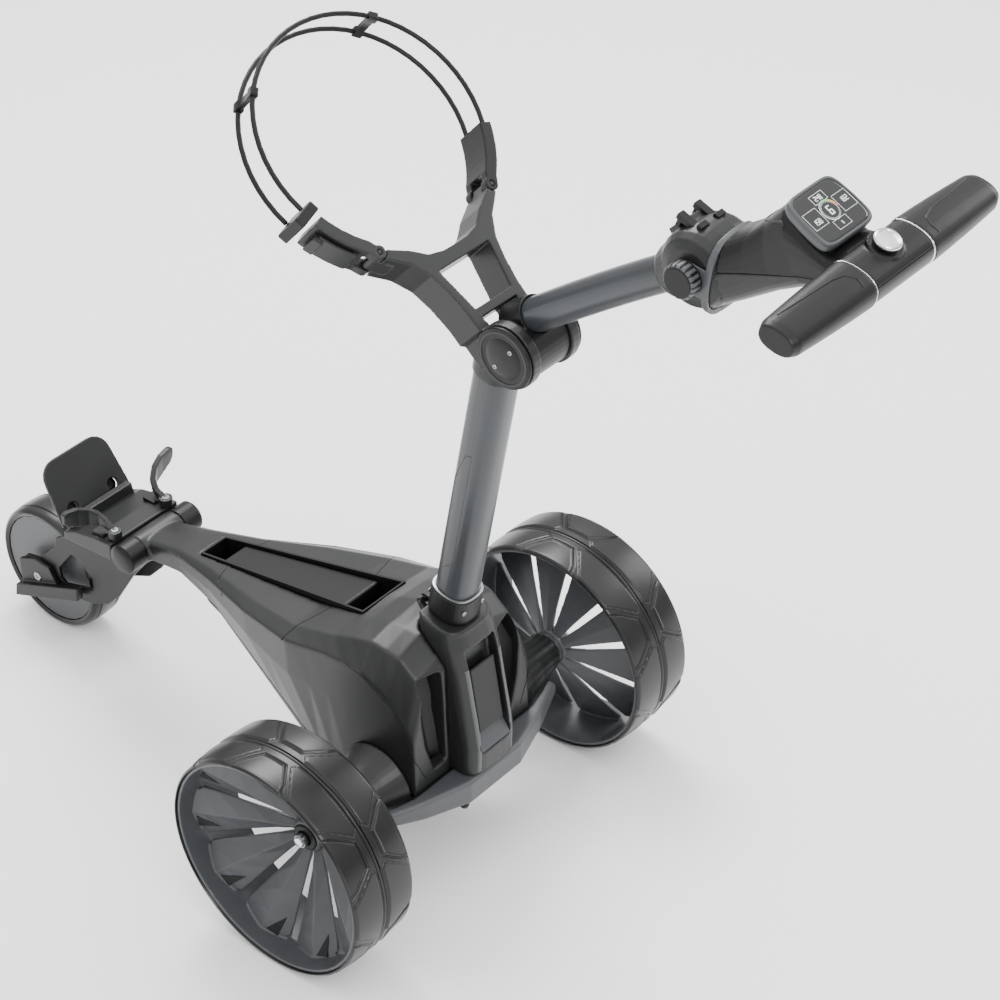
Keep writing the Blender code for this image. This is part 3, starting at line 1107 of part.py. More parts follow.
def housing(owner, bowl):
    """Upper and lower shells of the handle, the display's bezel and its glass."""
    lean = math.radians(KNOB_TILT)
    axis = Vector((0.0, math.sin(lean), math.cos(lean)))
    knob_at = in_plane(KNOB_Y, KNOB_Z)
    tilt = math.radians(DISPLAY_TILT)
    normal = Vector((0.0, math.sin(tilt), math.cos(tilt)))
    face = Matrix.Rotation(-tilt, 3, "X")
    top = in_plane(DISPLAY_Y, DISPLAY_Z)
    seam = math.atan2(BAR_Z - TILT_Z, BAR_Y - TILT_Y) - math.radians(2.0)
    seam_at = in_plane((BAR_Y + TILT_Y) / 2, (BAR_Z + TILT_Z) / 2)
    seam_turn = Matrix.Rotation(seam, 3, "X")
    for name, keep in (("upper_housing", 1), ("lower_housing", -1)):
        shell = link(name, to_mesh(name, neck_loft()), owner,
                     "dark_plastic" if keep > 0 else "body_plastic", sharp=28.0)
        middle = loft([bar_ring(x, BAR_HALF_DEPTH - 0.001, BAR_HALF_HEIGHT - 0.001)
                       for x in (-RING_TRIM_X + 0.0009, RING_TRIM_X - 0.0009)])
        core = link(name + "_core_bore", to_mesh("core_bore", rod(0.0083, -0.2, 0.2, 20)),
                    owner, None, (0.0, BAR_Y, BAR_Z), ALONG_X)
        fuse(shell, link(name + "_bar", to_mesh("bar_middle", middle), owner, None))
        if keep > 0:
            fuse(shell, link("knob_boss", to_mesh("knob_boss", rod(0.0175, -0.010, 0.003, 32)),
                             owner, None, knob_at, facing(axis)))
        away = block((0.3, 0.6, 0.2), (0.0, 0.0, -0.1 if keep > 0 else 0.1 - GAP))
        cut(shell, core, link(name + "_split", to_mesh("split", away), owner, None, seam_at,
                              seam_turn), bowl)
        if keep > 0:
            cut(shell, link("stem_bore", to_mesh("stem_bore", rod(0.0043, -0.0095, 0.02, 20)),
                            owner, None, knob_at, facing(axis)),
                link("bezel_room", to_mesh("bezel_room", block(
                    (DISPLAY_WIDTH + 0.0006, DISPLAY_LENGTH + 0.0006, DISPLAY_THICK + 0.0306),
                    (0.0, 0.0, 0.015 - DISPLAY_THICK / 2))), owner, None, top, face))
    bezel = link("display_bezel", to_mesh("display_bezel", block(
        (DISPLAY_WIDTH, DISPLAY_LENGTH, DISPLAY_THICK), (0.0, 0.0, -DISPLAY_THICK / 2))), owner,
        "dark_plastic", top, face)
    recess = block((DISPLAY_WIDTH - 0.008, DISPLAY_LENGTH - 0.008, 0.01), (0.0, 0.0, 0.0035))
    cut(bezel, link("glass_room", to_mesh("glass_room", recess), owner, None, top, face))
    link("display_glass", to_mesh("display_glass", block(
        (DISPLAY_WIDTH - 0.0086, DISPLAY_LENGTH - 0.0086, 0.0010), (0.0, 0.0, -0.0007))), owner,
        "screen_glass", top, face)


def bar(owner):
    """The cross tube with its silver rings, and the two grips over it."""
    core = link("handle_bar", to_mesh("handle_bar", rod(0.008, -0.152, 0.152, 20)), owner,
                "silver_trim", (0.0, BAR_Y, BAR_Z), ALONG_X)
    rings = []
    for side in (1, -1):
        ends = sorted((side * (RING_TRIM_X - 0.0006), side * (RING_TRIM_X + 0.0012)))
        disc = loft([bar_ring(x, BAR_HALF_DEPTH, BAR_HALF_HEIGHT) for x in ends])
        rings.append(link(f"trim_disc_{side}", to_mesh("trim_disc", disc), owner, None))
    fuse(core, *rings)
    for side in (1, -1):
        tag = "left" if side > 0 else "right"
        start = RING_TRIM_X + 0.0015
        length = GRIP_END_X - start
        sections = []
        for share, fall in ((0.0, 0.0), (0.25, 0.15), (0.5, 0.38), (0.75, 0.68), (0.93, 0.92),
                            (1.0, 1.0)):
            end_cut = 0.86 if share == 1.0 else 1.0
            depth = BAR_HALF_DEPTH + (GRIP_END_DEPTH - BAR_HALF_DEPTH) * fall
            height = BAR_HALF_HEIGHT + (GRIP_END_HEIGHT - BAR_HALF_HEIGHT) * fall
            sections.append(bar_ring(side * (start + length * share), depth * end_cut,
                                     height * end_cut))
        grip = link("grip_" + tag, to_mesh("grip", loft(sections)), owner, "grip_rubber",
                    sharp=50.0)
        ends = sorted((side * (start - 0.01), side * 0.1523))
        cut(grip, link("grip_bore_" + tag, to_mesh("grip_bore", rod(0.0083, *ends, 20)), owner,
                       None, (0.0, BAR_Y, BAR_Z), ALONG_X))


# ---------------------------------------------------------------- assembly
def build():
    clear_scene()
    root = body("trolley_origin", None, (0.0, 0.0, 0.0))
    front_reach = FRONT_AXLE_Y - FRONT_WHEEL_R
    rear_reach = BAR_Y + BAR_HALF_DEPTH
    root.location = (0.0, -(front_reach + rear_reach) / 2, 0.0)

    body_shell(root)
    rear_tower(root)
    undertray(root)
    drive_group(root)
    battery_group(root, body("battery_body", root, (0.0, BATTERY_REAR_Y, BAY_FLOOR_Z)))
    latch_group(body("latch_body", root, (0.0, 0.0780, LATCH_LOW_Z)))
    for side in (1, -1):
        tag = "left" if side > 0 else "right"
        hub = body("wheel_body_" + tag, root, (side * TRACK_HALF, 0.0, WHEEL_R))
        wheel(side, hub, body("button_body_" + tag, hub, (side * TRACK_HALF, 0.0, WHEEL_R)))

    front = body("front_body", root, (0.0, FRONT_PIVOT_Y, FRONT_PIVOT_Z))
    front_unit(front)
    front_wheel(body("front_wheel_body", front, (0.0, FRONT_AXLE_Y, FRONT_WHEEL_R)))
    for side in (1, -1):
        tag = "left" if side > 0 else "right"
        support_arm(side, body("arm_body_" + tag, front, (side * 0.0429, -0.4761, 0.2263)))

    mast = body("lower_mast_body", root, (0.0, MAST_PIVOT_Y, MAST_PIVOT_Z))
    lower_mast(mast)
    ring_loop(body("lever_body", mast, ring_place(ARM_PIVOT_X, ARM_PIVOT_S, 0.0)),
              body("loop_body", mast, ring_place(-ARM_PIVOT_X, ARM_PIVOT_S, 0.0)))
    upper = body("upper_mast_body", mast, (0.0, HINGE_Y, HINGE_Z))
    upper_mast(upper)
    grip = body("handle_body", upper, (0.0, TILT_Y, TILT_Z))
    press = body("knob_press_body", grip, (0.0, KNOB_Y, KNOB_Z))
    handle(grip, body("clamp_knob_body", grip, (0.0, TILT_Y, TILT_Z)), press,
           body("knob_turn_body", press, (0.0, KNOB_Y, KNOB_Z)))
    bpy.context.view_layer.update()


build()
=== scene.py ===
# %% [markdown]
# # An electric golf trolley, finished piece by piece
# The moving frame of the trolley is already modelled as plain solids. This lesson gives each
# piece its real surface: moulded charcoal plastic, satin powder-coated tube, black tread rubber
# and a glossy display. We start by loading the frame.

import json
import math

import bmesh
import bpy
import numpy as np
from mathutils import Matrix, Vector

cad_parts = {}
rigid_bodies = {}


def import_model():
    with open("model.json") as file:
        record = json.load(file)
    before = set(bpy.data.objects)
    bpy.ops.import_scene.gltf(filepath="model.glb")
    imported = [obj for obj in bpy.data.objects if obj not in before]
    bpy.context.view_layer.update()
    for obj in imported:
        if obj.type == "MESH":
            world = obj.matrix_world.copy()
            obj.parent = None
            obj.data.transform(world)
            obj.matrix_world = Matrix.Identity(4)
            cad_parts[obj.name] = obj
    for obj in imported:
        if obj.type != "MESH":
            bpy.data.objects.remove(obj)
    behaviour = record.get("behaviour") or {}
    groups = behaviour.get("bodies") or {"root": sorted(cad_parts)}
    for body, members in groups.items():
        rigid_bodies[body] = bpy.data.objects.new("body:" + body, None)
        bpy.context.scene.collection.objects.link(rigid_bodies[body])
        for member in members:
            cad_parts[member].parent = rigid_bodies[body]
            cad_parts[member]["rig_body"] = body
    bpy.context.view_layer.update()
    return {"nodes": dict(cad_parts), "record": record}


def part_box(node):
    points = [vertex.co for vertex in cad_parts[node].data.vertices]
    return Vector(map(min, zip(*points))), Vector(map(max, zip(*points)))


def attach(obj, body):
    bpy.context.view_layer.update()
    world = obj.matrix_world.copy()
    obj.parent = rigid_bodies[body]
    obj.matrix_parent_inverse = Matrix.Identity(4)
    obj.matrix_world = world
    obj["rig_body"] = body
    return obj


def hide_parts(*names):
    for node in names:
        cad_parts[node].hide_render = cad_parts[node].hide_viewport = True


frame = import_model()

# %% [markdown]
# Every drawing below is made in the "axle frame": its origin lies on the ground, straight under
# the rear axle, with -Y the way the trolley travels. That is how a wheelwright would measure
# it. One vector, read off the axle itself, moves a drawing into the model's own frame.

# %% The axle frame
SIDES = ((1, "left"), (-1, "right"))
axle_low, axle_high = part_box("axle_left")
AXLE = Vector((0.0, (axle_low.y + axle_high.y) / 2, 0.0))


def place(node):
    """A solid's lowest and highest corner, and its middle brought to the centre plane."""
    low, high = (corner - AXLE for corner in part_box(node))
    return low, high, Vector((0, (low.y + high.y) / 2, (low.z + high.z) / 2))


wheel_low, wheel_high, _ = place("tyre_left")
WHEEL_R = (wheel_high.z - wheel_low.z) / 2
TRACK = (wheel_low.x + wheel_high.x) / 2
print("axle at y", round(AXLE.y, 4), "wheel radius", round(WHEEL_R, 4), "half track",
      round(TRACK, 4))

# %% [markdown]
# ## The studio
# The trolley stands on a plain pale floor under large soft lights, and is looked at from above
# its left rear wheel through a long lens. A long lens keeps the near wheel from swelling. The
# camera is set from three angles, so that it can be changed like a tripod head.

# %% Camera
AZIMUTH, ELEVATION, ROLL = (math.radians(a) for a in (131.2348, 36.4454, -1.5862))
CAMERA_PLACE = AXLE + Vector((1.841, 1.7182, 2.3296))
FOCAL_MM = 104.57


def placed(name, data):
    """A new object, linked to the scene."""
    made = bpy.data.objects.new(name, data)
    bpy.context.scene.collection.objects.link(made)
    return made
backwards = Vector((math.sin(AZIMUTH) * math.cos(ELEVATION),
                    -math.cos(AZIMUTH) * math.cos(ELEVATION), math.sin(ELEVATION)))
right = Vector((0, 0, 1)).cross(backwards).normalized()
upwards = backwards.cross(right)
rolled_right = right * math.cos(ROLL) + upwards * math.sin(ROLL)
rolled_up = upwards * math.cos(ROLL) - right * math.sin(ROLL)
lens = bpy.data.cameras.new("camera")
lens.sensor_width, lens.lens = 36.0, FOCAL_MM
camera = placed("camera", lens)
camera.matrix_world = Matrix.Translation(CAMERA_PLACE) @ Matrix(
    (rolled_right, rolled_up, backwards)).transposed().to_4x4()
bpy.context.scene.camera = camera
print("camera", round((camera.location - AXLE).length, 3), "m from the axle frame's origin")


# %% Lights
def softbox(name, spot, aim, size, power):
    """A rectangular soft light that faces a point."""
    lamp = bpy.data.lights.new(name, "AREA")
    lamp.shape, lamp.size, lamp.size_y, lamp.energy = "RECTANGLE", size[0], size[1], power
    holder = placed(name, lamp)
    holder.location = spot
    holder.rotation_euler = (Vector(aim) - Vector(spot)).to_track_quat("-Z", "Y").to_euler()

def preset(node, values):
    """Sets constants on a shader node's own sockets."""
    for socket, value in values.items():
        node.inputs[socket].default_value = value
softbox("key_light", (-1.0, -1.4, 2.6), (0, 0.1, 0.2), (1.5, 1.0), 76)
softbox("rear_light", (0.9, 2.3, 2.2), (0, 0, 0.4), (1.2, 0.7), 32)
softbox("side_light", (2.6, -0.9, 1.6), (0, 0, 0.2), (0.6, 1.2), 5)
softbox("far_light", (-2.4, 1.0, 1.7), (0, 0, 0.5), (1.0, 1.4), 26)
world = bpy.data.worlds.new("studio")
world.use_nodes = True
sky = world.node_tree
ray = sky.nodes.new("ShaderNodeTexCoord")
height_of = sky.nodes.new("ShaderNodeSeparateXYZ")
dome = sky.nodes.new("ShaderNodeMapRange")
preset(dome, {"From Min": 0.0, "From Max": 0.9, "To Min": 0.40, "To Max": 2.60})
sky.links.new(ray.outputs["Generated"], height_of.inputs["Vector"])
sky.links.new(height_of.outputs["Z"], dome.inputs["Value"])
sky.links.new(dome.outputs["Result"], sky.nodes["Background"].inputs["Strength"])
preset(sky.nodes["Background"], {"Color": (1.0, 1.0, 1.0, 1.0)})
bpy.context.scene.world = world
print("four soft boxes under a sky that is brightest overhead")


# %% [markdown]
# ## Finishes
# Moulded plastic is never one flat colour: the tool is spark-eroded, which leaves a fine grain,
# and the gloss wanders a little over a large face. Each finish here is one Principled shader
# whose colour, roughness and bump come from noise. The grain's size is given in real
# millimetres, because object coordinates are metres.

# %% Finishes: one recipe for plastics, paints and rubber
def graded(tree, noise, low, high):
    """A linear map from a 0-1 noise to a range."""
    span = tree.nodes.new("ShaderNodeMapRange")
    preset(span, {"To Min": low, "To Max": high})
    tree.links.new(noise, span.inputs["Value"])
    return span.outputs["Result"]


def noise_at(tree, grain_mm, detail=4.0):
    """Noise whose grain has a real size, fixed to the object."""
    where = tree.nodes.new("ShaderNodeTexCoord")
    noise = tree.nodes.new("ShaderNodeTexNoise")
    preset(noise, {"Scale": 1000.0 / grain_mm, "Detail": detail})
    tree.links.new(where.outputs["Object"], noise.inputs["Vector"])
    return noise.outputs["Fac"]


def recipe(name, colour, roughness, grain_mm, grain_depth, metallic=0.0, variation=0.12,
           coat=0.0, specular=0.5):
    """A finish with grain, wandering gloss and a little colour variation."""
    made = bpy.data.materials.new(name)
    made.use_nodes = True
    tree = made.node_tree
    shader = tree.nodes["Principled BSDF"]
    preset(shader, {"Metallic": metallic, "Coat Weight": coat, "Specular IOR Level": specular})
    broad = noise_at(tree, 60.0)
    fine = noise_at(tree, grain_mm, 3.0)
    mixer = tree.nodes.new("ShaderNodeMix")
    mixer.data_type = "RGBA"
    preset(mixer, {"A": (*(c * (1 - variation) for c in colour), 1.0),
                   "B": (*(c * (1 + variation) for c in colour), 1.0)})
    tree.links.new(broad, mixer.inputs["Factor"])
    tree.links.new(mixer.outputs["Result"], shader.inputs["Base Color"])
    tree.links.new(graded(tree, broad, roughness * 0.88, roughness * 1.12),
                   shader.inputs["Roughness"])
    bump = tree.nodes.new("ShaderNodeBump")
    preset(bump, {"Strength": 0.35, "Distance": grain_depth / 1000.0})
    tree.links.new(fine, bump.inputs["Height"])
    tree.links.new(bump.outputs["Normal"], shader.inputs["Normal"])
    made.diffuse_color = (*colour, 1.0)
    return made


FINISHES = {
    "body_plastic": recipe("charcoal_moulding", (0.0115, 0.0119, 0.0123), 0.36, 0.7, 0.10,
                           specular=0.34),
    "dark_plastic": recipe("black_moulding", (0.0042, 0.0043, 0.0045), 0.38, 0.6, 0.10,
                           specular=0.26),
    "grey_plastic": recipe("grey_moulding", (0.052, 0.055, 0.060), 0.38, 0.7, 0.10,
                           specular=0.45),
    "tube_paint": recipe("gunmetal_paint", (0.038, 0.042, 0.046), 0.32, 0.35, 0.05,
                         metallic=0.3, coat=0.08),
    "tyre_rubber": recipe("tread_rubber", (0.0042, 0.0042, 0.0045), 0.30, 0.9, 0.08,
                          specular=0.38),
    "grip_rubber": recipe("grip_rubber", (0.0035, 0.0036, 0.0039), 0.38, 0.5, 0.12,
                          specular=0.3),
    "steel": recipe("turned_steel", (0.30, 0.31, 0.32), 0.28, 0.5, 0.04, metallic=1.0),
    "silver_trim": recipe("satin_aluminium", (0.74, 0.75, 0.76), 0.22, 0.4, 0.03,
                          metallic=1.0, variation=0.05),
    "screen_glass": recipe("display_window", (0.004, 0.0045, 0.005), 0.10, 8.0, 0.01,
                           coat=0.3, specular=0.4),
}
for subpart in frame["record"]["subparts"]:
    node = frame["nodes"][subpart["node"]]
    node.data.materials.clear()
    node.data.materials.append(FINISHES[subpart["material_slot"]])


# %% [markdown]
# ## Drawing helpers
# A mesh is a list of points and faces. `piece` turns one into an object, gives it a finish and
# hangs it on the body it moves with, so that no part of the trolley is left behind when the
# mast folds. `loft` skins a row of rings, which is how most moulded covers are drawn.

# %% Pieces
def cleaned(mesh, gap=1e-6, outwards=True):
    """Welds doubled points and, if asked, turns every face outwards."""
    work = bmesh.new()
    work.from_mesh(mesh)
    bmesh.ops.remove_doubles(work, verts=work.verts, dist=gap)
    if outwards:
        bmesh.ops.recalc_face_normals(work, faces=work.faces)
    work.to_mesh(mesh)
    work.free()
    return mesh


def skin(name, points, faces):
    """A mesh drawn in the axle frame, moved to the model's."""
    mesh = bpy.data.meshes.new(name)
    mesh.from_pydata([tuple(Vector(p) + AXLE) for p in points], [], faces)
    return mesh


def dress(made, body, slot, replaces=(), sharp=32.0):
    """Finish, smooth shading, parent body and the solids that a piece stands for."""
    mesh = cleaned(made.data)
    mesh.materials.clear()
    mesh.materials.append(FINISHES[slot])
    mesh.shade_smooth()
    mesh.set_sharp_from_angle(angle=math.radians(sharp))
    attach(made, body)
    if replaces:
        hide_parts(*replaces)
    return made


def piece(name, points, faces, body, slot, replaces=(), sharp=32.0):
    """A finished piece drawn in the axle frame."""
    return dress(placed(name, skin(name, points, faces)), body, slot, replaces, sharp)


def loft(rings, caps=True, around=True):
    """Points and faces of a skin through rings that all have the same count."""
    count = len(rings[0])
    points = [p for ring in rings for p in ring]
    faces = []
    for r in range(len(rings) - 1):
        for i in range(count if around else count - 1):
            j = (i + 1) % count
            a, b = r * count, (r + 1) * count
            faces.append((a + i, a + j, b + j, b + i))
    if caps:
        faces.append(tuple(range(count)))
        faces.append(tuple(len(points) - count + i for i in range(count)))
    return points, faces


def joined(*parts):
    """Several (points, faces) as one."""
    points, faces = [], []
    for more_points, more_faces in parts:
        start = len(points)
        points += list(more_points)
        faces += [tuple(start + i for i in face) for face in more_faces]
    return points, faces

def to_side(shape, side):
    """A shape drawn for the left (side 1), or its mirror image (side -1)."""
    return [(side * p[0], p[1], p[2]) for p in shape[0]], shape[1]


def superellipse(centre, across, along, half_across, half_along, count=32, power=2.0):
    """A ring that is an ellipse at power 2 and squarer above it."""
    ring = []
    for i in range(count):
        c, s = math.cos(2 * math.pi * i / count), math.sin(2 * math.pi * i / count)
        ring.append(Vector(centre)
                    + Vector(across) * math.copysign(abs(c) ** (2 / power), c) * half_across
                    + Vector(along) * math.copysign(abs(s) ** (2 / power), s) * half_along)
    return ring


def box(size, centre, turn=None):
    """A block, tilted if asked, to be softened later."""
    half = Vector(size) / 2
    corners = [Vector((x, y, z)) for z in (-half.z, half.z)
               for x, y in ((-half.x, -half.y), (half.x, -half.y), (half.x, half.y),
                            (-half.x, half.y))]
    return loft([[(turn @ c if turn else c) + Vector(centre) for c in corners[k:k + 4]]
                 for k in (0, 4)])


def lathe(profile, centre, axis, count=48):
    """Turns (radius, height) points round an axis; a radius of 0 closes the end."""
    spin = Vector((0, 0, 1)).rotation_difference(Vector(axis).normalized()).to_matrix()
    turns = [2 * math.pi * i / count for i in range(count)]
    return loft([[spin @ Vector((max(r, 1e-5) * math.cos(turn), max(r, 1e-5) * math.sin(turn), h))
                  + Vector(centre) for turn in turns] for r, h in profile])


def turned(name, profile, centre, axis, body, slot, replaces=(), count=48, sharp=32.0):
    """A piece made on the lathe."""
    return piece(name, *lathe(profile, centre, axis, count), body, slot, replaces, sharp)


def heading(path, i):
    """The direction of a path at one of its points."""
    return (path[min(i + 1, len(path) - 1)] - path[max(i - 1, 0)]).normalized()


def bar_through(path, radius, count=14):
    """A round bar along a path, ends capped."""
    path = [Vector(p) for p in path]
    rings, side = [], None
    for i, here in enumerate(path):
        along = heading(path, i)
        side = along.orthogonal() if side is None else side - along * side.dot(along)
        side = side.normalized()
        rings.append(superellipse(here, side, along.cross(side), radius, radius, count))
    return loft(rings)


print("helpers ready")


# %% [markdown]
# Injection mouldings have no knife edges: every corner carries a small radius, and shapes that
# meet flow into each other. Beveling each edge by hand would take a day. Rebuilding the surface
# from a fine grid of cubes, then relaxing it, rounds everything at once, and can join several
# crossing shapes into one skin. Crisp cuts, such as shut lines, are made afterwards.

# %% Melt, carve
def applied(obj):
    """The object's modifiers baked into its mesh."""
    bpy.context.view_layer.update()
    graph = bpy.context.evaluated_depsgraph_get()
    mesh = bpy.data.meshes.new_from_object(obj.evaluated_get(graph), depsgraph=graph)
    obj.modifiers.clear()
    obj.data = mesh
    return obj


def solid(name, parts):
    """Objects of crossing closed shapes, ready to be joined."""
    return [placed(f"{name}_{i}" if i else name, cleaned(skin(f"{name}_{i}", *part)))
            for i, part in enumerate(parts)]


def carve(target, tools, operation="DIFFERENCE"):
    """Booleans with throwaway tools."""
    for tool in tools:
        step = target.modifiers.new("carve", "BOOLEAN")
        step.operation, step.object, step.solver = operation, tool, "EXACT"
    applied(target)
    for tool in tools:
        bpy.data.objects.remove(tool)
    return target


def melt(target, cell, relax, factor=0.5):
    """Rebuilds the skin from cubes of the given size and relaxes it."""
    step = target.modifiers.new("grid", "REMESH")
    step.mode, step.voxel_size, step.use_smooth_shade = "VOXEL", cell, True
    if relax:
        soften = target.modifiers.new("relax", "SMOOTH")
        soften.iterations, soften.factor = relax, factor
    return applied(target)

def fused(name, shapes, cell, relax, body, slot, replaces=(), sharp=40.0):
    """Crossing shapes joined into one moulding with soft edges."""
    made, *others = solid(name, shapes)
    if others:
        carve(made, others, "UNION")
    return dress(melt(made, cell, relax), body, slot, replaces, sharp)


def moulded(node, name, cell, relax, slot=None, cuts=(), swell=0.0):
    """A solid's own shape with moulded edges, swollen a little if asked, then cut."""
    source = frame["nodes"][node]
    made = placed(name, source.data.copy())
    cleaned(made.data, 1e-5, outwards=False)
    melt(made, cell, relax)
    if swell:
        shifted = [v.co + v.normal * swell for v in made.data.vertices]
        for vertex, where in zip(made.data.vertices, shifted):
            vertex.co = where
    if cuts:
        carve(made, solid(node + "_cuts", cuts))
    if slot is None:
        slot = next(s["material_slot"] for s in frame["record"]["subparts"]
                    if s["node"] == node)
    return dress(made, source["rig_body"], slot, (node,), 40.0)


print("moulding tools ready")


# %% [markdown]
# ## Driven wheels
# A golf tyre is a foam-filled rubber ring with shallow lawn tread: wide crowned blocks that
# face each other across a double centre groove, each block outlined by a fine moulded rib. The
# ring could be cut with hundreds of Booleans. It is quicker, and cleaner, to lay a dense grid
# round the wheel and lift each point by a height map: the distance to the outline of the nearest
# block says whether a point lies on rib, groove, block or land.

# %% Tread height map
TREAD_REPEATS = 6
TREAD_LAND = 0.0013               # how far the land lies below the block crowns
RIB_WIDTH, RIB_HEIGHT = 0.0011, 0.0012
TYRE_HALF, TYRE_BORE = 0.046, 0.1343
GRID_AROUND, GRID_ACROSS = 1320, 104
RAISED_BLOCK = [(-0.045, 0.0060), (0.045, 0.0060), (0.050, 0.0110), (0.028, 0.0370),
                (0.022, 0.0450), (-0.022, 0.0450), (-0.028, 0.0370), (-0.050, 0.0110)]
SUNK_BLOCK = [(-0.016, 0.0120), (0.016, 0.0120), (0.034, 0.0340), (0.040, 0.0470),
              (-0.040, 0.0470), (-0.034, 0.0340)]


def outline_distance(along, across, outline):
    """Distance to a closed outline, negative inside it, for arrays of points."""
    along, across = np.broadcast_arrays(along, across)
    nearest = np.full(along.shape, 1e9)
    inside = np.zeros(along.shape, bool)
    for k, (ax, ay) in enumerate(outline):
        bx, by = outline[(k + 1) % len(outline)]
        t = np.clip(((along - ax) * (bx - ax) + (across - ay) * (by - ay))
                    / ((bx - ax) ** 2 + (by - ay) ** 2), 0, 1)
        nearest = np.minimum(nearest, np.hypot(along - ax - t * (bx - ax),
                                               across - ay - t * (by - ay)))
        if ay != by:
            crossing = (ay > across) != (by > across)
            inside ^= crossing & (along < (bx - ax) * (across - ay) / (by - ay) + ax)
    return np.where(inside, -nearest, nearest)


def rib(distance, width, height):
    """A rounded rib or, with a negative height, a groove."""
    return height * np.clip(1.5 * (1 - np.abs(distance) / width), 0, 1)


def tread_height(along, across, repeat):
    """Height over the tyre's full radius at arc length and distance from the centre line."""
    centre_gap = np.abs(across)
    a = (along + repeat / 2) % repeat - repeat / 2
    b = (along % repeat) - repeat / 2
    raised = outline_distance(a, centre_gap, RAISED_BLOCK)
    sunk = outline_distance(b, centre_gap, SUNK_BLOCK)
    height = -TREAD_LAND * np.clip((raised + 0.0004) / 0.0008, 0, 1)
    height = height + rib(raised - RIB_WIDTH, RIB_WIDTH, RIB_HEIGHT)
    height = height + rib(sunk, RIB_WIDTH * 1.2, -0.0014)
    height = height + rib(sunk + 2.6 * RIB_WIDTH, RIB_WIDTH, RIB_HEIGHT * 0.8)
    height = height + rib(centre_gap - 0.0021, 0.0009, -0.0016)
    return height


print("tread repeats every", round(2 * math.pi * WHEEL_R * 1000 / TREAD_REPEATS, 1), "mm")


# %% Tyres
def tyre_grid(radius, half_width, inner_radius, around, across):
    """A closed ring: dense treaded outside, rounded shoulders, plain bore."""
    shoulder, crown, lip = 0.0050, 0.0022, 0.0009
    xs = np.linspace(-half_width + 0.0005, half_width - 0.0005, across)
    edge = np.clip((np.abs(xs) - half_width + shoulder) / shoulder, 0, 1)
    base = radius - crown * (np.abs(xs) / half_width) ** 2.4 \
        - shoulder * (1 - np.sqrt(1 - 0.93 * edge ** 2))
    profile_x = np.concatenate([xs, [half_width, half_width, half_width - 0.0012],
                                [-half_width + 0.0012, -half_width, -half_width]])
    profile_r = np.concatenate([base, [base[-1] - lip * 1.5, inner_radius + 0.0008,
                                       inner_radius], [inner_radius, inner_radius + 0.0008,
                                                       base[0] - lip * 1.5]])
    angle = np.linspace(0, 2 * math.pi, around, endpoint=False)
    lift = tread_height(angle[:, None] * radius, xs[None, :],
                        2 * math.pi * radius / TREAD_REPEATS) * (1 - edge[None, :] ** 3)
    radii = np.repeat(profile_r[None, :], around, axis=0)
    radii[:, :across] += lift
    points = np.stack([np.repeat(profile_x[None, :], around, axis=0) + TRACK,
                       radii * np.cos(angle)[:, None],
                       WHEEL_R + radii * np.sin(angle)[:, None]], axis=-1).reshape(-1, 3)
    width = len(profile_x)
    i = np.arange(around)[:, None] * width + np.arange(width)[None, :]
    j = (np.arange(around)[:, None] + 1) % around * width + np.arange(width)[None, :]
    i2, j2 = np.roll(i, -1, axis=1), np.roll(j, -1, axis=1)
    quads = np.stack([i, j, j2, i2], axis=-1).reshape(-1, 4)
    return points.tolist(), quads.tolist()


def half_turned(shape, side):
    """The right-hand copy of a wheel drawn for the left, turned about the vertical."""
    return [(side * p[0], side * p[1], p[2]) for p in shape[0]], shape[1]


tyre = tyre_grid(WHEEL_R, TYRE_HALF, TYRE_BORE, GRID_AROUND, GRID_ACROSS)
for side, tag in SIDES:
    piece(f"tread_{tag}", *half_turned(tyre, side), f"wheel_{tag}", "tyre_rubber",
          [f"tyre_{tag}"], sharp=60)
print("tyres with", len(tyre[1]), "faces each")


# %% [markdown]
# The rim is one tall moulding: ten blades sweep outwards from a deep hub and fan out until they
# meet the barrel. Each blade is folded along its middle, so that one half catches the light and
# the other falls into shade. A loft of folded sections, joined to barrel and hub by Booleans and
# then softened a little, gives crisp facets with moulded edges. Where two blades run together at
# the barrel lies a deep triangular pocket. Its shade is painted, as a thin triangular plate of
# black moulding laid on the blades.

# %% Rims
RIM_BLADES = 10
BLADE_ANGLES = [2 * math.pi * (k + 0.05) / RIM_BLADES for k in range(RIM_BLADES)]
BARREL_OUTER, BARREL_INNER, BARREL_HALF = 0.1338, 0.1296, 0.0440
BLADE = [(0.016, 0.0046, 0.0050, 0.000), (0.045, 0.0112, 0.0075, 0.013),
         (0.078, 0.0205, 0.0085, 0.029), (0.106, 0.0295, 0.0085, 0.0425),
         (0.1210, 0.0335, 0.0070, 0.0495), (0.1285, 0.0260, 0.0055, 0.0530)]
HUB_FACE, HUB_BACK = -0.0225, -0.0455
BLADE_TOP = HUB_BACK + 0.0165
POCKET_CORNERS = [(0.1265, 0.0060, 0.0520, 0.0040, 0.0270),
                  (0.1265, 0.0215, 0.0520, 0.0040, 0.0270),
                  (0.1050, 0.0200, 0.0420, 0.0081, 0.0262)]


def on_wheel(radial, tangent, height, angle):
    """A point given along, across and out from a wheel's face."""
    return Vector((TRACK + height, radial * math.cos(angle) - tangent * math.sin(angle),
                   WHEEL_R + radial * math.sin(angle) + tangent * math.cos(angle)))


def blade(angle):
    """One folded blade, lofted outwards through the rows of BLADE."""
    rings = []
    for radius, half, fold, lift in BLADE:
        base = HUB_BACK + 0.004 + lift
        face = base + 0.0125
        rings.append([on_wheel(radius, t, h, angle) for t, h in (
            (-half, base + 0.001), (0.0, base), (half, base + 0.001),
            (half, face - fold), (0.0, face), (-half, face - fold))])
    return loft(rings)


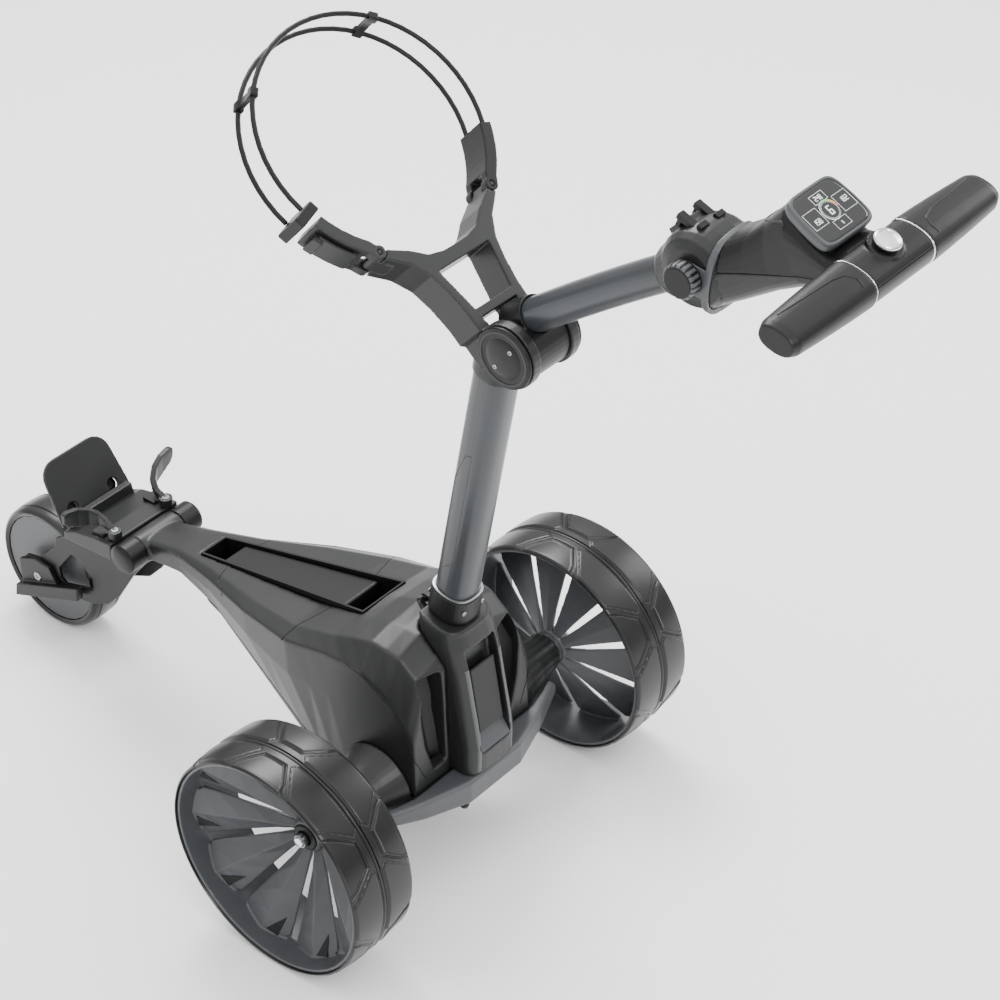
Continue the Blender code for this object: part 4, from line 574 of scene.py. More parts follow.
def wheel_barrel(outer, inner, half, count=128):
    """The closed tube that the blades end in."""
    turns = [2 * math.pi * i / count for i in range(count)]
    rings = [[on_wheel(r, 0.0, h, turn) for turn in turns] for r, h in (
        (outer, -half), (outer, half - 0.001), (outer - 0.001, half), (inner, half - 0.0004),
        (inner, -half))]
    return loft(rings + [rings[0]], caps=False)


def blade_pocket_shade(angle):
    """Painted shade: a thin dark plate laid in the corner where a blade meets the barrel."""
    return loft([[on_wheel(r, t, BLADE_TOP + lift - fold * t / half + raise_by, angle)
                  for r, t, lift, fold, half in POCKET_CORNERS]
                 for raise_by in (-0.004, 0.0007)])


hub = lathe([(0, HUB_BACK), (0.0205, HUB_BACK), (0.0210, HUB_FACE - 0.003),
             (0.0185, HUB_FACE), (0.0135, HUB_FACE + 0.0006), (0.0, HUB_FACE + 0.0006)],
            (TRACK, 0, WHEEL_R), (1, 0, 0))
bore = lathe([(0.0, -0.06), (0.0086, -0.06), (0.0086, 0.0), (0.0, 0.0)],
             (TRACK, 0, WHEEL_R), (1, 0, 0))
rim_shapes = [wheel_barrel(BARREL_OUTER, BARREL_INNER, BARREL_HALF),
              *(blade(angle) for angle in BLADE_ANGLES), hub]
for side, tag in SIDES:
    wheel_body, outwards = f"wheel_{tag}", (side, 0, 0)
    rim, *others = solid(f"rim_skin_{tag}", [half_turned(s, side) for s in rim_shapes])
    carve(rim, others, "UNION")
    carve(rim, solid("bore", [half_turned(bore, side)]))
    dress(melt(rim, 0.0011, 2), wheel_body, "grey_plastic", [f"rim_{tag}"], sharp=28)
    pockets = [half_turned(blade_pocket_shade(angle), side) for angle in BLADE_ANGLES]
    # The dark plates are painted shade of the deep pockets where the blades meet the barrel.
    piece(f"rim_pocket_shade_{tag}", *joined(*pockets), wheel_body, "dark_plastic", sharp=20)
    turned(f"hub_disc_{tag}", [(0.0092, 0.0008), (0.0092, 0.0022), (0.0100, 0.0030),
                               (0.0150, 0.0030), (0.0165, 0.0018), (0.0165, 0.0008)],
           (side * (TRACK + HUB_FACE), 0, WHEEL_R), outwards, wheel_body, "dark_plastic")
    button_low, button_high, _ = place(f"release_button_{tag}")
    tip = max(abs(button_low.x), abs(button_high.x))
    turned(f"button_cap_{tag}", [(0, -0.0095), (0.0061, -0.0095), (0.0061, -0.0011),
                                 (0.0056, -0.0004), (0.0030, 0.0), (0.0, 0.0)],
           (side * tip, 0, WHEEL_R), outwards, f"button_{tag}", "silver_trim",
           [f"release_button_{tag}"])
print("rims with", RIM_BLADES, "folded blades")


# %% [markdown]
# The little front wheel is the same idea in small: a smooth rubber ring with two grooves, and
# a solid disc of shallow fan-shaped facets instead of open blades. It carries hardly any mud,
# so it needs no tread.

# %% Front wheel
front_low, front_high, FRONT = place("front_tyre")
FRONT_R = (front_high.z - front_low.z) / 2
FAN_FACETS = 24
HALF_TREAD = [(0.0748, 0.0238), (0.0790, 0.0258), (0.0805, 0.0256), (0.0832, 0.0235),
              (0.0846, 0.0205), (0.0855, 0.0160), (0.0843, 0.0150), (0.0843, 0.0138),
              (0.0858, 0.0128), (FRONT_R, 0.0060)]
other_half = [(r, -x) for r, x in HALF_TREAD]
turned("front_tread", other_half + HALF_TREAD[::-1] + other_half[:1], FRONT, (1, 0, 0),
       "front_wheel", "tyre_rubber", ["front_tyre"], 160, 30)


def fan_side(side):
    """Rings of one face of the disc, swinging in and out to make facets."""
    turns = [2 * math.pi * i / FAN_FACETS for i in range(FAN_FACETS)]
    return [[FRONT + Vector((side * (depth + (swing if i % 2 else -swing)),
                             radius * math.cos(turn), radius * math.sin(turn)))
             for i, turn in enumerate(turns)]
            for radius, depth, swing in ((0.0115, 0.0215, 0.0), (0.0180, 0.0125, 0.0),
                                         (0.0240, 0.0128, 0.0012), (0.0440, 0.0140, 0.0030),
                                         (0.0640, 0.0168, 0.0042), (0.0700, 0.0195, 0.0),
                                         (0.0742, 0.0228, 0.0))]


piece("front_rim_fan", *loft(fan_side(-1)[::-1] + fan_side(1)), "front_wheel", "grey_plastic",
      ["front_rim"], sharp=6)
print("front wheel radius", round(FRONT_R, 4))


# %% [markdown]
# ## Body
# The body is a shell in three mouldings: a long deck, a tower behind the mast and a tray below.
# The tray carries the bumper band. Each keeps the outline of its solid, because the battery,
# mast and latch have to fit. What the solids lack is the soft radius along every edge, so each
# is melted. Shut lines come after that, cut as 1 mm grooves with thin blades, since the grid
# would swallow them.

# %% Deck and its shut lines
SEAM = 0.0009


def groove_blade(path, depth, width, out):
    """A thin blade that cuts a groove along a path, standing along the direction out."""
    path = [Vector(p) for p in path]
    out = Vector(out).normalized()
    rings = []
    for i, here in enumerate(path):
        side = heading(path, i).cross(out).normalized() * (width / 2)
        rings.append([here - side - out * depth, here + side - out * depth,
                      here + side + out * 0.02, here - side + out * 0.02])
    return loft(rings)

shut_lines = [
    groove_blade([(0.0215, -0.300, 0.2570), (0.050, -0.292, 0.2520), (0.064, -0.270, 0.2420)],
                 0.0016, SEAM, (0.25, 0, 1)),
    groove_blade([(0.0330, -0.120, 0.2900), (0.060, -0.128, 0.2860), (0.0970, -0.142, 0.2700)],
                 0.0020, SEAM, (0.25, 0, 1)),
]
moulded("body_shell", "deck_shell", 0.0015, 16,
        cuts=[to_side(line, side) for side, _ in SIDES for line in shut_lines])
moulded("rear_tower", "tower_shell", 0.0013, 10)
moulded("undertray", "belly_tray", 0.0016, 6)
moulded("rear_bumper", "bumper_band", 0.0013, 14)
print("deck, tower, tray and bumper moulded")


# %% [markdown]
# The battery is a sealed block with a lift-off lid, the latch a hooked plate in the tower's
# pocket, and the axle housings are cones that end close to the hubs. All are smooth mouldings,
# so they are made like the shells. A finer grid is used for the thin latch.

# %% Battery, latch, housings
pack_low, pack_high, _ = place("battery_pack")
moulded("battery_pack", "battery_case", 0.0011, 6)
moulded("latch_plate", "battery_latch", 0.0007, 3)
for _, tag in SIDES:
    moulded(f"axle_housing_{tag}", f"axle_cone_{tag}", 0.0012, 6)
print("battery", [round(v * 1000) for v in pack_high - pack_low], "mm")


# %% [markdown]
# ## Front unit
# The folding front unit is made of stamped and moulded plates: a fork round the front wheel,
# the paddle that the bag's foot leans on, and two curved arms with rubber tips that hold the
# bag. They take the same soft edges, at a finer grid, since the plates are only 4 mm thick.

# %% Fork, paddle, arms
moulded("fork_bridge", "fork_crossing", 0.0009, 4)
for _, tag in SIDES:
    moulded(f"fork_plate_{tag}", f"fork_cheek_{tag}", 0.0008, 3)
moulded("bag_paddle", "paddle_plate", 0.0009, 3)
moulded("tracking_adjuster", "tracking_bar", 0.0007, 3)
print("front unit moulded")


# %% [markdown]
# ## Mast
# Both mast tubes are aluminium with a flattened section, powder-coated in gunmetal. The fittings
# at their ends are glass-filled nylon. The fold joint in the middle is a ribbed barrel between
# two round caps.

# %% Tubes, collar and fold joint
moulded("lower_tube", "lower_mast_tube", 0.0012, 8)
moulded("mast_collar", "mast_foot_collar", 0.0008, 4)
moulded("bag_bracket", "bag_yoke", 0.0010, 4)
moulded("hinge_socket", "fold_socket", 0.0009, 4)
moulded("upper_tube", "upper_mast_tube", 0.0010, 10)
moulded("mast_clamp", "tilt_clamp", 0.0010, 5)
for _, tag in SIDES:
    moulded(f"hinge_cap_{tag}", f"fold_cap_{tag}", 0.0008, 4)
print("mast moulded")


# %% [markdown]
# ## Bag ring
# Two spring wires and two moulded arms hold the top of the bag. A toothed strap lever closes
# them. The wires wear a black sleeve, so their skin is swollen by the sleeve's thickness.

# %% Wires and arms
SLEEVE = 0.0007
for level in ("upper", "lower"):
    moulded(f"wire_{level}", f"ring_wire_{level}", 0.0006, 10, swell=SLEEVE)
moulded("wire_end_block", "wire_end", 0.0007, 4)
moulded("ring_end_piece", "ring_arm_end", 0.0008, 4)
moulded("strap_lever", "ring_strap_lever", 0.0008, 4)
print("ring moulded")


# %% [markdown]
# ## Handle
# The handle is two clamshell housings round the bar and a flange that seats on the clamp. They
# are moulded from their solids here. The display and the speed knob follow, each in a cell of
# its own.

# %% Handle housings
moulded("flange_ring", "handle_flange", 0.0009, 4, slot="grey_plastic")
moulded("upper_housing", "neck_top", 0.0009, 5)
moulded("lower_housing", "neck_bottom", 0.0009, 5)
moulded("handle_bar", "bar_centre", 0.0009, 6)
for _, tag in SIDES:
    moulded(f"grip_{tag}", f"hand_grip_{tag}", 0.0010, 8)
moulded("clamp_knob", "side_clamp_knob", 0.0007, 3)
print("handle moulded")


# %% [markdown]
# Fine raised lines, such as the grip's contour loop, follow the surface they stand on. Measuring
# that surface by hand would be slow, so a ray is dropped on it at each point, and a thin
# bar is laid through the hits, half sunk into the skin.

# %% Lines laid on a surface
from mathutils.bvhtree import BVHTree


def surface_of(node):
    """A solid's surface, ready to be hit by rays."""
    mesh = frame["nodes"][node].data
    return BVHTree.FromPolygons([v.co.copy() for v in mesh.vertices],
                                [tuple(p.vertices) for p in mesh.polygons])


def laid(tree, path, fall, start=0.08, sink=0.0):
    """Points of a path dropped on a surface along the direction fall."""
    fall = Vector(fall).normalized()
    hits = []
    for here in path:
        hit = tree.ray_cast(Vector(here) + AXLE - fall * start, fall)[0]
        if hit is not None:
            hits.append(hit - AXLE + fall * sink)
    return hits


def in_steps(path, step=0.004):
    """A polyline with extra points, so that it bends with the surface."""
    path = [Vector(p) for p in path]
    fine = []
    for a, b in zip(path, path[1:]):
        count = max(1, round((b - a).length / step))
        fine += [a.lerp(b, k / count) for k in range(count)]
    return fine + [path[-1]]

def raised_lines(name, node, path, fall, radius, body, slot, sink=None):
    """A thin bar along a path, laid on a solid's surface."""
    hits = laid(surface_of(node), in_steps(path), fall,
                sink=radius * 0.35 if sink is None else sink)
    return piece(name, *bar_through(hits, radius, 10), body, slot, sharp=60)


print("surface lines ready")


# %% [markdown]
# The display sits in a frame with gently bulging sides. Its window is a black glass plate, and
# what it shows is a speed gauge with four value boxes round it. The marks are real, very thin
# plates on the glass, so that they stay sharp from any distance.

# %% Display frame and glass
DISPLAY = Vector((0.0, 0.498, 1.019))
HALF_SCREEN, HALF_SCREEN_HIGH = 0.0368, 0.0296
LEAN_BACK = math.radians(27.8)
SCREEN_OUT = Vector((0, math.sin(LEAN_BACK), math.cos(LEAN_BACK)))
SCREEN_UP = Vector((0, -math.cos(LEAN_BACK), math.sin(LEAN_BACK)))


def on_screen(across, up, out=0.0):
    """A point on the display, across to the user's right."""
    return DISPLAY + Vector((-across, 0, 0)) + SCREEN_UP * up + SCREEN_OUT * out


def screen_outline(inset, out, count=72):
    """The display's outline: a rounded shape that is widest below its middle."""
    ring = []
    for k in range(count):
        t = 2 * math.pi * k / count
        c, s = math.cos(t), math.sin(t)
        up = math.copysign(abs(s) ** (2 / 7.0), s)
        half = HALF_SCREEN - 0.0022 * (up + 0.25) ** 2 - inset
        ring.append(on_screen(math.copysign(abs(c) ** (2 / 7.0), c) * half,
                              up * (HALF_SCREEN_HIGH - inset), out))
    return ring


piece("display_frame", *loft([screen_outline(i, n) for i, n in (
    (0.0060, -0.0138), (0.0020, -0.0120), (0.0004, -0.0090), (0.0, -0.0050), (0.0002, -0.0016),
    (0.0010, -0.0004), (0.0018, 0.0), (0.0030, -0.0001), (0.0034, -0.0010))]),
    "handle", "grey_plastic", ["display_bezel"], sharp=50)
piece("display_window", *loft([screen_outline(i, n) for i, n in (
    (0.0036, -0.0030), (0.0036, -0.0009), (0.0040, -0.0006), (0.0060, -0.00055))]),
    "handle", "screen_glass", ["display_glass"], sharp=40)
print("display", round(HALF_SCREEN * 2000), "mm wide")


# %% Display marks
def glowing(name, colour, strength):
    """A finish for marks that are lit from behind."""
    made = recipe(name, tuple(c * 0.8 for c in colour), 0.4, 2.0, 0.005, variation=0.02)
    preset(made.node_tree.nodes["Principled BSDF"],
           {"Emission Color": (*colour, 1.0), "Emission Strength": strength})
    return made


MARK_OUT = (-0.00062, -0.00040)
for tone, colour, strength in (
        ("white", (0.82, 0.86, 0.88), 0.55), ("green", (0.10, 0.55, 0.16), 0.5),
        ("amber", (0.85, 0.50, 0.06), 0.5), ("red", (0.75, 0.16, 0.05), 0.5)):
    FINISHES[tone + "_marks"] = glowing("lit_" + tone, colour, strength)


def stroke(a, b, width):
    """A flat straight mark between two points of the display."""
    a, b = Vector(a), Vector(b)
    along = (b - a).normalized()
    side = Vector((-along.y, along.x)) * (width / 2)
    a, b = a - along * width * 0.3, b + along * width * 0.3
    return loft([[on_screen(p.x, p.y, n) for p in (a - side, b - side, b + side, a + side)]
                 for n in MARK_OUT])


def polyline(points, width, closed=False):
    """Straight marks from point to point."""
    ends = list(points[1:]) + ([points[0]] if closed else [])
    return [stroke(a, b, width) for a, b in zip(points, ends)]


SEGMENTS = {"2": "abged", "4": "fgbc", "8": "abcdefg", "1": "bc", "5": "afgcd", "6": "afgcde"}
PLACES = {"a": ((0, 2), (1, 2)), "b": ((1, 2), (1, 1)), "c": ((1, 1), (1, 0)),
          "d": ((0, 0), (1, 0)), "e": ((0, 1), (0, 0)), "f": ((0, 2), (0, 1)),
          "g": ((0, 1), (1, 1))}


def digits(text, x, y, high, width):
    """Figures drawn with straight segments, left end at x and foot at y."""
    marks = []
    for k, figure in enumerate(text):
        for segment in SEGMENTS[figure]:
            (ax, ay), (bx, by) = PLACES[segment]
            left = x + k * high * 0.72
            marks.append(stroke((left + ax * high * 0.46, y + ay * high / 2),
                                (left + bx * high * 0.46, y + by * high / 2), width))
    return marks


def mark_piece(name, marks, finish):
    """Flat marks as one piece that tilts with the handle."""
    made = placed(name, skin(name, *joined(*marks)))
    made.data.materials.append(FINISHES[finish])
    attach(made, "handle")


MM = 0.001
frames = []
for left, low, right, high in ((-9, 10.5, 9, 20), (12.5, -9, 31, 9.5), (-31, -9, -12.5, 9.5),
                               (-9, -20, 9, -10.5)):
    frames += polyline([(left * MM, low * MM), (right * MM, low * MM), (right * MM, high * MM),
                        (left * MM, high * MM)], 0.00032, closed=True)
RING = 10.8 * MM
around = [(RING * math.cos(math.radians(a)), RING * math.sin(math.radians(a)))
          for a in range(0, 361, 10)]
ticks = [stroke((0.80 * x, 0.80 * y), (0.95 * x, 0.95 * y), 0.00035) for x, y in around]
mark_piece("display_figures", frames + ticks + polyline(around[9:29], 0.0005)
           + digits("6", -0.0021, -0.0043, 0.0086, 0.00125)
           + digits("248", -0.0048, 0.0130, 0.0046, 0.00062)
           + digits("182", 0.0175, -0.0010, 0.0050, 0.00062)
           + digits("158", -0.0270, -0.0055, 0.0050, 0.00062)
           + digits("5", -0.0005, -0.0170, 0.0030, 0.00045), "white_marks")
for name, first, last in (("green", 5, 9), ("amber", 2, 5), ("red", 0, 2)):
    mark_piece(f"display_arc_{name}", polyline(around[first:last + 1], 0.0016),
               name + "_marks")
print(len(frames + ticks), "line marks on the display")


# %% [markdown]
# The speed knob is pressed to start and turned to set the pace. It is a satin aluminium cap with
# a dished top and a knurled edge, standing on a glossy black collar.

# %% Speed knob
KNOB_LEAN = math.radians(20)
KNOB_AXIS = Vector((0, math.sin(KNOB_LEAN), math.cos(KNOB_LEAN)))
cap_low, cap_high, KNOB_MID = place("knob_cap")
KNOB_R = (cap_high.x - cap_low.x) / 2
KNOB_HALF = ((cap_high.z - cap_low.z) / 2 - KNOB_R * math.sin(KNOB_LEAN)) / math.cos(KNOB_LEAN)
turned("speed_knob_cap", [
    (0.0, -KNOB_HALF), (KNOB_R - 0.0012, -KNOB_HALF), (KNOB_R - 0.0006, 0.0010 - KNOB_HALF),
    *((KNOB_R - inset, KNOB_HALF - below) for inset, below in (
        (0.0, 0.0034), (0.0006, 0.0018), (0.0022, 0.0007), (0.0040, 0.0004), (0.0046, 0.0009),
        (0.0075, 0.0003))), (0.0, KNOB_HALF)],
    KNOB_MID, KNOB_AXIS, "speed_knob", "silver_trim", ["knob_cap"], 96, 35)
turned("knob_collar", [(0.0060, -0.0050), (KNOB_R + 0.0030, -0.0050), (KNOB_R + 0.0030, -0.0036),
                       (KNOB_R + 0.0020, -0.0026), (KNOB_R - 0.0030, -0.0026),
                       (0.0060, -0.0026), (0.0060, -0.0050)],
       KNOB_MID - KNOB_AXIS * KNOB_HALF, KNOB_AXIS, "handle", "dark_plastic", (), 72, 35)
print("knob", round(KNOB_R * 2000, 1), "mm across,", round(KNOB_HALF * 2000, 1), "mm high")


# %% [markdown]
# Each grip has a raised contour loop on its upper face, so that the palm finds its place, and
# the neck's top cover carries a V-shaped ridge. Both are drawn above the handle and then dropped
# on its skin.

# %% Contours on the handle
ABOVE_GRIPS, ABOVE_NECK = 1.03, 1.06
for side, tag in SIDES:
    loop = [(side * x, y, ABOVE_GRIPS) for x, y in (
        (0.1440, 0.5460), (0.1100, 0.5500), (0.0760, 0.5530), (0.0620, 0.5570),
        (0.0565, 0.5660), (0.0580, 0.5740))]
    raised_lines(f"grip_contour_{tag}", f"grip_{tag}", loop, (0, 0, -1), 0.0010, "handle",
                 "grip_rubber")
half_ridge = [(0.0300, 0.4700), (0.0240, 0.4520), (0.0120, 0.4380)]
neck_ridge = [(-x, y, ABOVE_NECK) for x, y in half_ridge] + [(0.0, 0.4350, ABOVE_NECK)] \
    + [(x, y, ABOVE_NECK) for x, y in half_ridge[::-1]]
raised_lines("neck_ridge", "upper_housing", neck_ridge, (0, 0, -1), 0.0013, "handle",
             "body_plastic")
print("contours on grips and neck")


# %% [markdown]
# The clamp's side knob locks the handle's tilt. Its rim is fluted for wet fingers. On top of the
# clamp a small two-jawed rail takes accessories.

# %% Clamp knob and accessory rail
knob_low, knob_high, side_axis = place("clamp_knob")
SIDE_R = (knob_high.z - knob_low.z) / 2
FLUTES = 18
turns = [2 * math.pi * k / (8 * FLUTES) for k in range(8 * FLUTES)]
flutes = []
for radius, x in ((0.012, 0.0385), (SIDE_R - 0.0008, 0.0385), (SIDE_R, 0.0395),
                  (SIDE_R, 0.0488), (SIDE_R - 0.0012, 0.0508), (SIDE_R - 0.0035, 0.0518),
                  (0.0105, 0.0518), (0.0098, 0.0512), (0.0060, 0.0516), (0.0001, 0.0518)):
    depth = 0.05 * (radius > 0.016)
    flutes.append([side_axis + Vector((x, *(
        radius * (1.0 - depth * max(0.0, math.cos(FLUTES * turn)) ** 2) * f(turn)
        for f in (math.cos, math.sin)))) for turn in turns])
piece("side_knob_head", *loft(flutes), "tilt_knob", "grey_plastic", sharp=35)
clamp_top = place("mast_clamp")[1].z
lean = Matrix.Rotation(math.radians(-22), 3, "X")
fused("accessory_rail", [
    box(size, (x, side_axis.y - back, clamp_top - down), lean) for x in (-0.0125, 0.0125)
    for size, back, down in (((0.009, 0.030, 0.0060), 0.014, 0.004),
                             ((0.009, 0.0050, 0.0075), 0.026, 0.006),
                             ((0.012, 0.0060, 0.0050), 0.001, 0.001))],
      0.0005, 3, "upper_mast", "dark_plastic", sharp=32.0)
print("clamp knob", round(SIDE_R * 2000, 1), "mm across")


# %% [markdown]
# ## Body details
# Between each corner pillar and the tower the real body falls away in one deep hollow that lies
# in shade. A panel, curved like a saddle, is stretched from the tower's flank to the pillar. Its
# shape is the hollow's own, and its black moulding is painted shade. Its two edges are found by
# dropping rays on the solids from behind, so it always meets them.

# %% Hollow panels with painted shade
TOWER_SKIN, BODY_SKIN = surface_of("rear_tower"), surface_of("body_shell")
LINER_ROWS = [(0.150, 0.070), (0.170, 0.071), (0.190, 0.0765), (0.210, 0.0815),
              (0.230, 0.0845), (0.250, 0.0870), (0.270, 0.0865), (0.286, 0.0820),
              (0.298, 0.0740)]
LINER_COLUMNS, LINER_DEPTH, LINER_THICK = 15, 0.020, 0.0016
TOWER_FLANK, WELL_BEHIND = 0.0385, 0.30


def behind(tree, x, z):
    """How far back a surface lies, found by a ray from behind."""
    hit = tree.ray_cast(Vector((x, WELL_BEHIND, z)) + AXLE, Vector((0, -1, 0)))[0]
    return None if hit is None else (hit - AXLE).y


def saddle_panel(side):
    """The saddle-shaped panel of one hollow, row by row from below."""
    rings = []
    for z, far in LINER_ROWS:
        far_y = behind(BODY_SKIN, side * (far + 0.002), z) or 0.02
        near_y = 0.046 + 0.25 * max(0.0, 0.23 - z)
        row = []
        for k in range(LINER_COLUMNS):
            t = k / (LINER_COLUMNS - 1)
            sag = LINER_DEPTH * math.sin(math.pi * t) ** 0.8
            row.append((side * (TOWER_FLANK * (1 - t) + far * t),
                        near_y * (1 - t) + (far_y - 0.0015) * t - sag, z))
        rings.append(row + [(x, y - LINER_THICK, z) for x, y, z in row[::-1]])
    return loft(rings)


# The panels take the black moulding as painted shade of the deep hollows. Their saddle shape is
# the hollow's real form.
piece("hollow_panels_painted_shade", *joined(saddle_panel(1), saddle_panel(-1)), "chassis", "dark_plastic", sharp=50)
print("liners of", len(LINER_ROWS), "rows")


# %% [markdown]
# The latch pocket is framed by two lighter rails and a sloping grey floor, which lead the fingers
# to the plate. Under the bumper sits a small rubber stop.

# %% Pocket frame
rails = []
for side, _ in SIDES:
    rings = []
    for z in (0.1500, 0.1750, 0.2000, 0.2250, 0.2500, 0.2750, 0.2900):
        y = behind(TOWER_SKIN, side * 0.0285, z) or 0.08
        rings.append([(side * x, y + out, z) for x, out in (
            (0.0245, -0.010), (0.0245, 0.0016), (0.0285, 0.0014), (0.0300, -0.0002),
            (0.0300, -0.010))])
    rails.append(loft(rings))
for number, rail in enumerate(solid("pocket_rails", rails)):
    melt(rail, 0.0006, 3)
    rail.name = f"pocket_rail_{number}"
    dress(rail, "chassis", "grey_plastic", sharp=45)
ramp = [[(x, y, z) for y, z in ((0.0665, 0.1775), (0.0895, 0.1772), (0.0865, 0.1830),
                                (0.0765, 0.1985), (0.0665, 0.1985))] for x in (-0.0234, 0.0234)]
piece("pocket_ramp", *loft(ramp), "chassis", "grey_plastic", sharp=25)
turned("bumper_stop", [(0.0, 0.0), (0.0052, 0.0), (0.0060, -0.0040), (0.0046, -0.0075),
                       (0.0, -0.0082)], (0.046, 0.0790, 0.1150), (0, 0, 1), "chassis",
       "dark_plastic", count=32)
print("pocket framed")


# %% [markdown]
# A crisp crease runs along each side of the deck, and a dark seam parts the corner pillar from
# the wing. Both are slim bars laid on the shell, almost sunk into it, which costs far less than
# cutting the shell again.

# %% Creases
CREASE = [(0.0296, -0.400, 0.231), (0.0296, -0.384, 0.234), (0.0482, -0.3136, 0.2433),
          (0.0782, -0.2236, 0.2578), (0.0985, -0.142, 0.2704)]
WING = [(0.097, -0.050, 0.2860), (0.097, -0.019, 0.2800), (0.097, 0.020, 0.2580),
        (0.096, 0.040, 0.2320), (0.090, 0.050, 0.1950), (0.080, 0.054, 0.1600)]
for name, path, fall, radius, slot, sink in (
        ("deck_crease", CREASE, (-0.8, 0, -0.6), 0.0011, "body_plastic", 0.0006),
        ("wing_seam", WING, (-0.75, -0.35, -0.55), 0.0007, "dark_plastic", 0.0003)):
    for side, tag in SIDES:
        raised_lines(f"{name}_{tag}", "body_shell", [(side * x, y, z) for x, y, z in path],
                     (side * fall[0], *fall[1:]), radius, "chassis", slot, sink)
print("creases laid")


# %% [markdown]
# ## Front unit details
# The bag arms are deep nylon blades with a rubber pad, each held by a screw in a block. The
# paddle's drain holes are counterbored cups. Domed caps close the ends of the pivot tube. A
# sloping root fills the corner between the paddle and the fork's crossing.

# %% Arms, blocks, caps and screws
ARM_PATH = [(0.0429, -0.4770, 0.2290, 0.010), (0.0416, -0.4890, 0.2345, 0.013),
            (0.0450, -0.4990, 0.2420, 0.018), (0.0560, -0.5060, 0.2480, 0.024),
            (0.0700, -0.5095, 0.2530, 0.027), (0.0850, -0.5110, 0.2580, 0.022),
            (0.0905, -0.5112, 0.2600, 0.014)]


def screw(centre, axis, radius, high=0.0012):
    """A pan-head screw with a hexagon socket."""
    return lathe([(radius * 0.5, 0.0), (radius, 0.0), (radius, high * 0.5),
                  (radius * 0.85, high), (radius * 0.45, high), (radius * 0.40, high * 0.3),
                  (0.0, high * 0.3)], centre, axis, 24)


rings = []
for i, (x, y, z, tall) in enumerate(ARM_PATH):
    along = heading([Vector(row[:3]) for row in ARM_PATH], i)
    sideways = along.cross(Vector((0, 0, 1))).normalized()
    middle, rise = Vector((x, y, z)), Vector((0, 0, tall / 2))
    wide, slim = sideways * 0.0036, sideways * 0.0020
    rings.append([middle - slim - rise, middle + slim - rise, middle + wide + rise * 0.5,
                  middle + wide + rise, middle - wide + rise, middle - wide + rise * 0.5])
ARM_X, ARM_Y, LUG_R, LUG_HIGH = 0.0429, -0.4761, 0.0088, 0.0105
arm_shapes = [loft(rings), lathe([(0.0, 0.0), (LUG_R, 0.0), (LUG_R, LUG_HIGH), (0.0, LUG_HIGH)],
                                 (ARM_X, ARM_Y, 0.2233), (0, 0, 1), 40)]
PIVOT, PIVOT_END = (-0.450, 0.210), 0.0580      # y and z of the fold pin, half its length
PADDLE_LEAN = math.radians(29.5)
cup_rise = Vector((0, -math.sin(PADDLE_LEAN), math.cos(PADDLE_LEAN))) * 0.014
cup_out = Vector((0, math.cos(PADDLE_LEAN), math.sin(PADDLE_LEAN)))
for side, tag in SIDES:
    fused(f"bag_arm_{tag}", [to_side(shape, side) for shape in arm_shapes], 0.0008, 4,
          f"arm_{tag}", "body_plastic", [f"support_arm_{tag}"])
    piece(f"arm_screw_{tag}", *screw((side * ARM_X, ARM_Y, 0.2337), (0, 0, 1), 0.0050),
          f"arm_{tag}", "steel", sharp=30)
    fused(f"arm_block_{tag}", [box((0.017, 0.020, 0.0105), (side * 0.0430, -0.4990, 0.2185))],
          0.0007, 3, "front_unit", "dark_plastic")
    turned(f"pivot_cap_{tag}", [(0.0, -0.001), (0.0180, -0.001), (0.0190, 0.0006),
                                (0.0165, 0.0030), (0.0090, 0.0042), (0.0, 0.0046)],
           (side * PIVOT_END, *PIVOT), (side, 0, 0), "front_unit", "dark_plastic",
           count=56, sharp=40)
    turned(f"drain_cup_{tag}", [(0.0020, -0.0085), (0.0088, -0.0085), (0.0088, -0.0052),
                                (0.0064, -0.0052), (0.0058, -0.0072), (0.0020, -0.0078),
                                (0.0020, -0.0085)],
           Vector((side * 0.0327, -0.5545, 0.2087)) + cup_rise, cup_out, "front_unit",
           "dark_plastic", count=40, sharp=35)
paddle_back = place("bag_paddle")[1].y
root = [[(x, paddle_back + y, z) for y, z in ((-0.0035, 0.2045), (-0.0040, 0.2130),
                                              (-0.0010, 0.2200), (0.0090, 0.2205),
                                              (0.0120, 0.2045))] for x in (-0.0500, 0.0500)]
fused("paddle_root", [loft(root)], 0.0008, 3, "front_unit", "body_plastic")
bolt_low, bolt_high, _ = place("front_axle")
bolt_end = max(abs(bolt_low.x), abs(bolt_high.x))
for side, tag in SIDES:
    piece(f"axle_bolt_{tag}", *screw((side * bolt_end, FRONT.y, FRONT.z), (side, 0, 0), 0.0062,
                                     0.0016), "front_unit", "steel", sharp=30)
print("front unit details made")


# %% [markdown]
# ## Mast details
# The fold joint's caps are domed discs inside a raised ring, each with two socket screws. The
# mast's foot collar has screws too and a thin bright line where the tube enters. The lower
# tube carries a long sculpted panel on each flank.

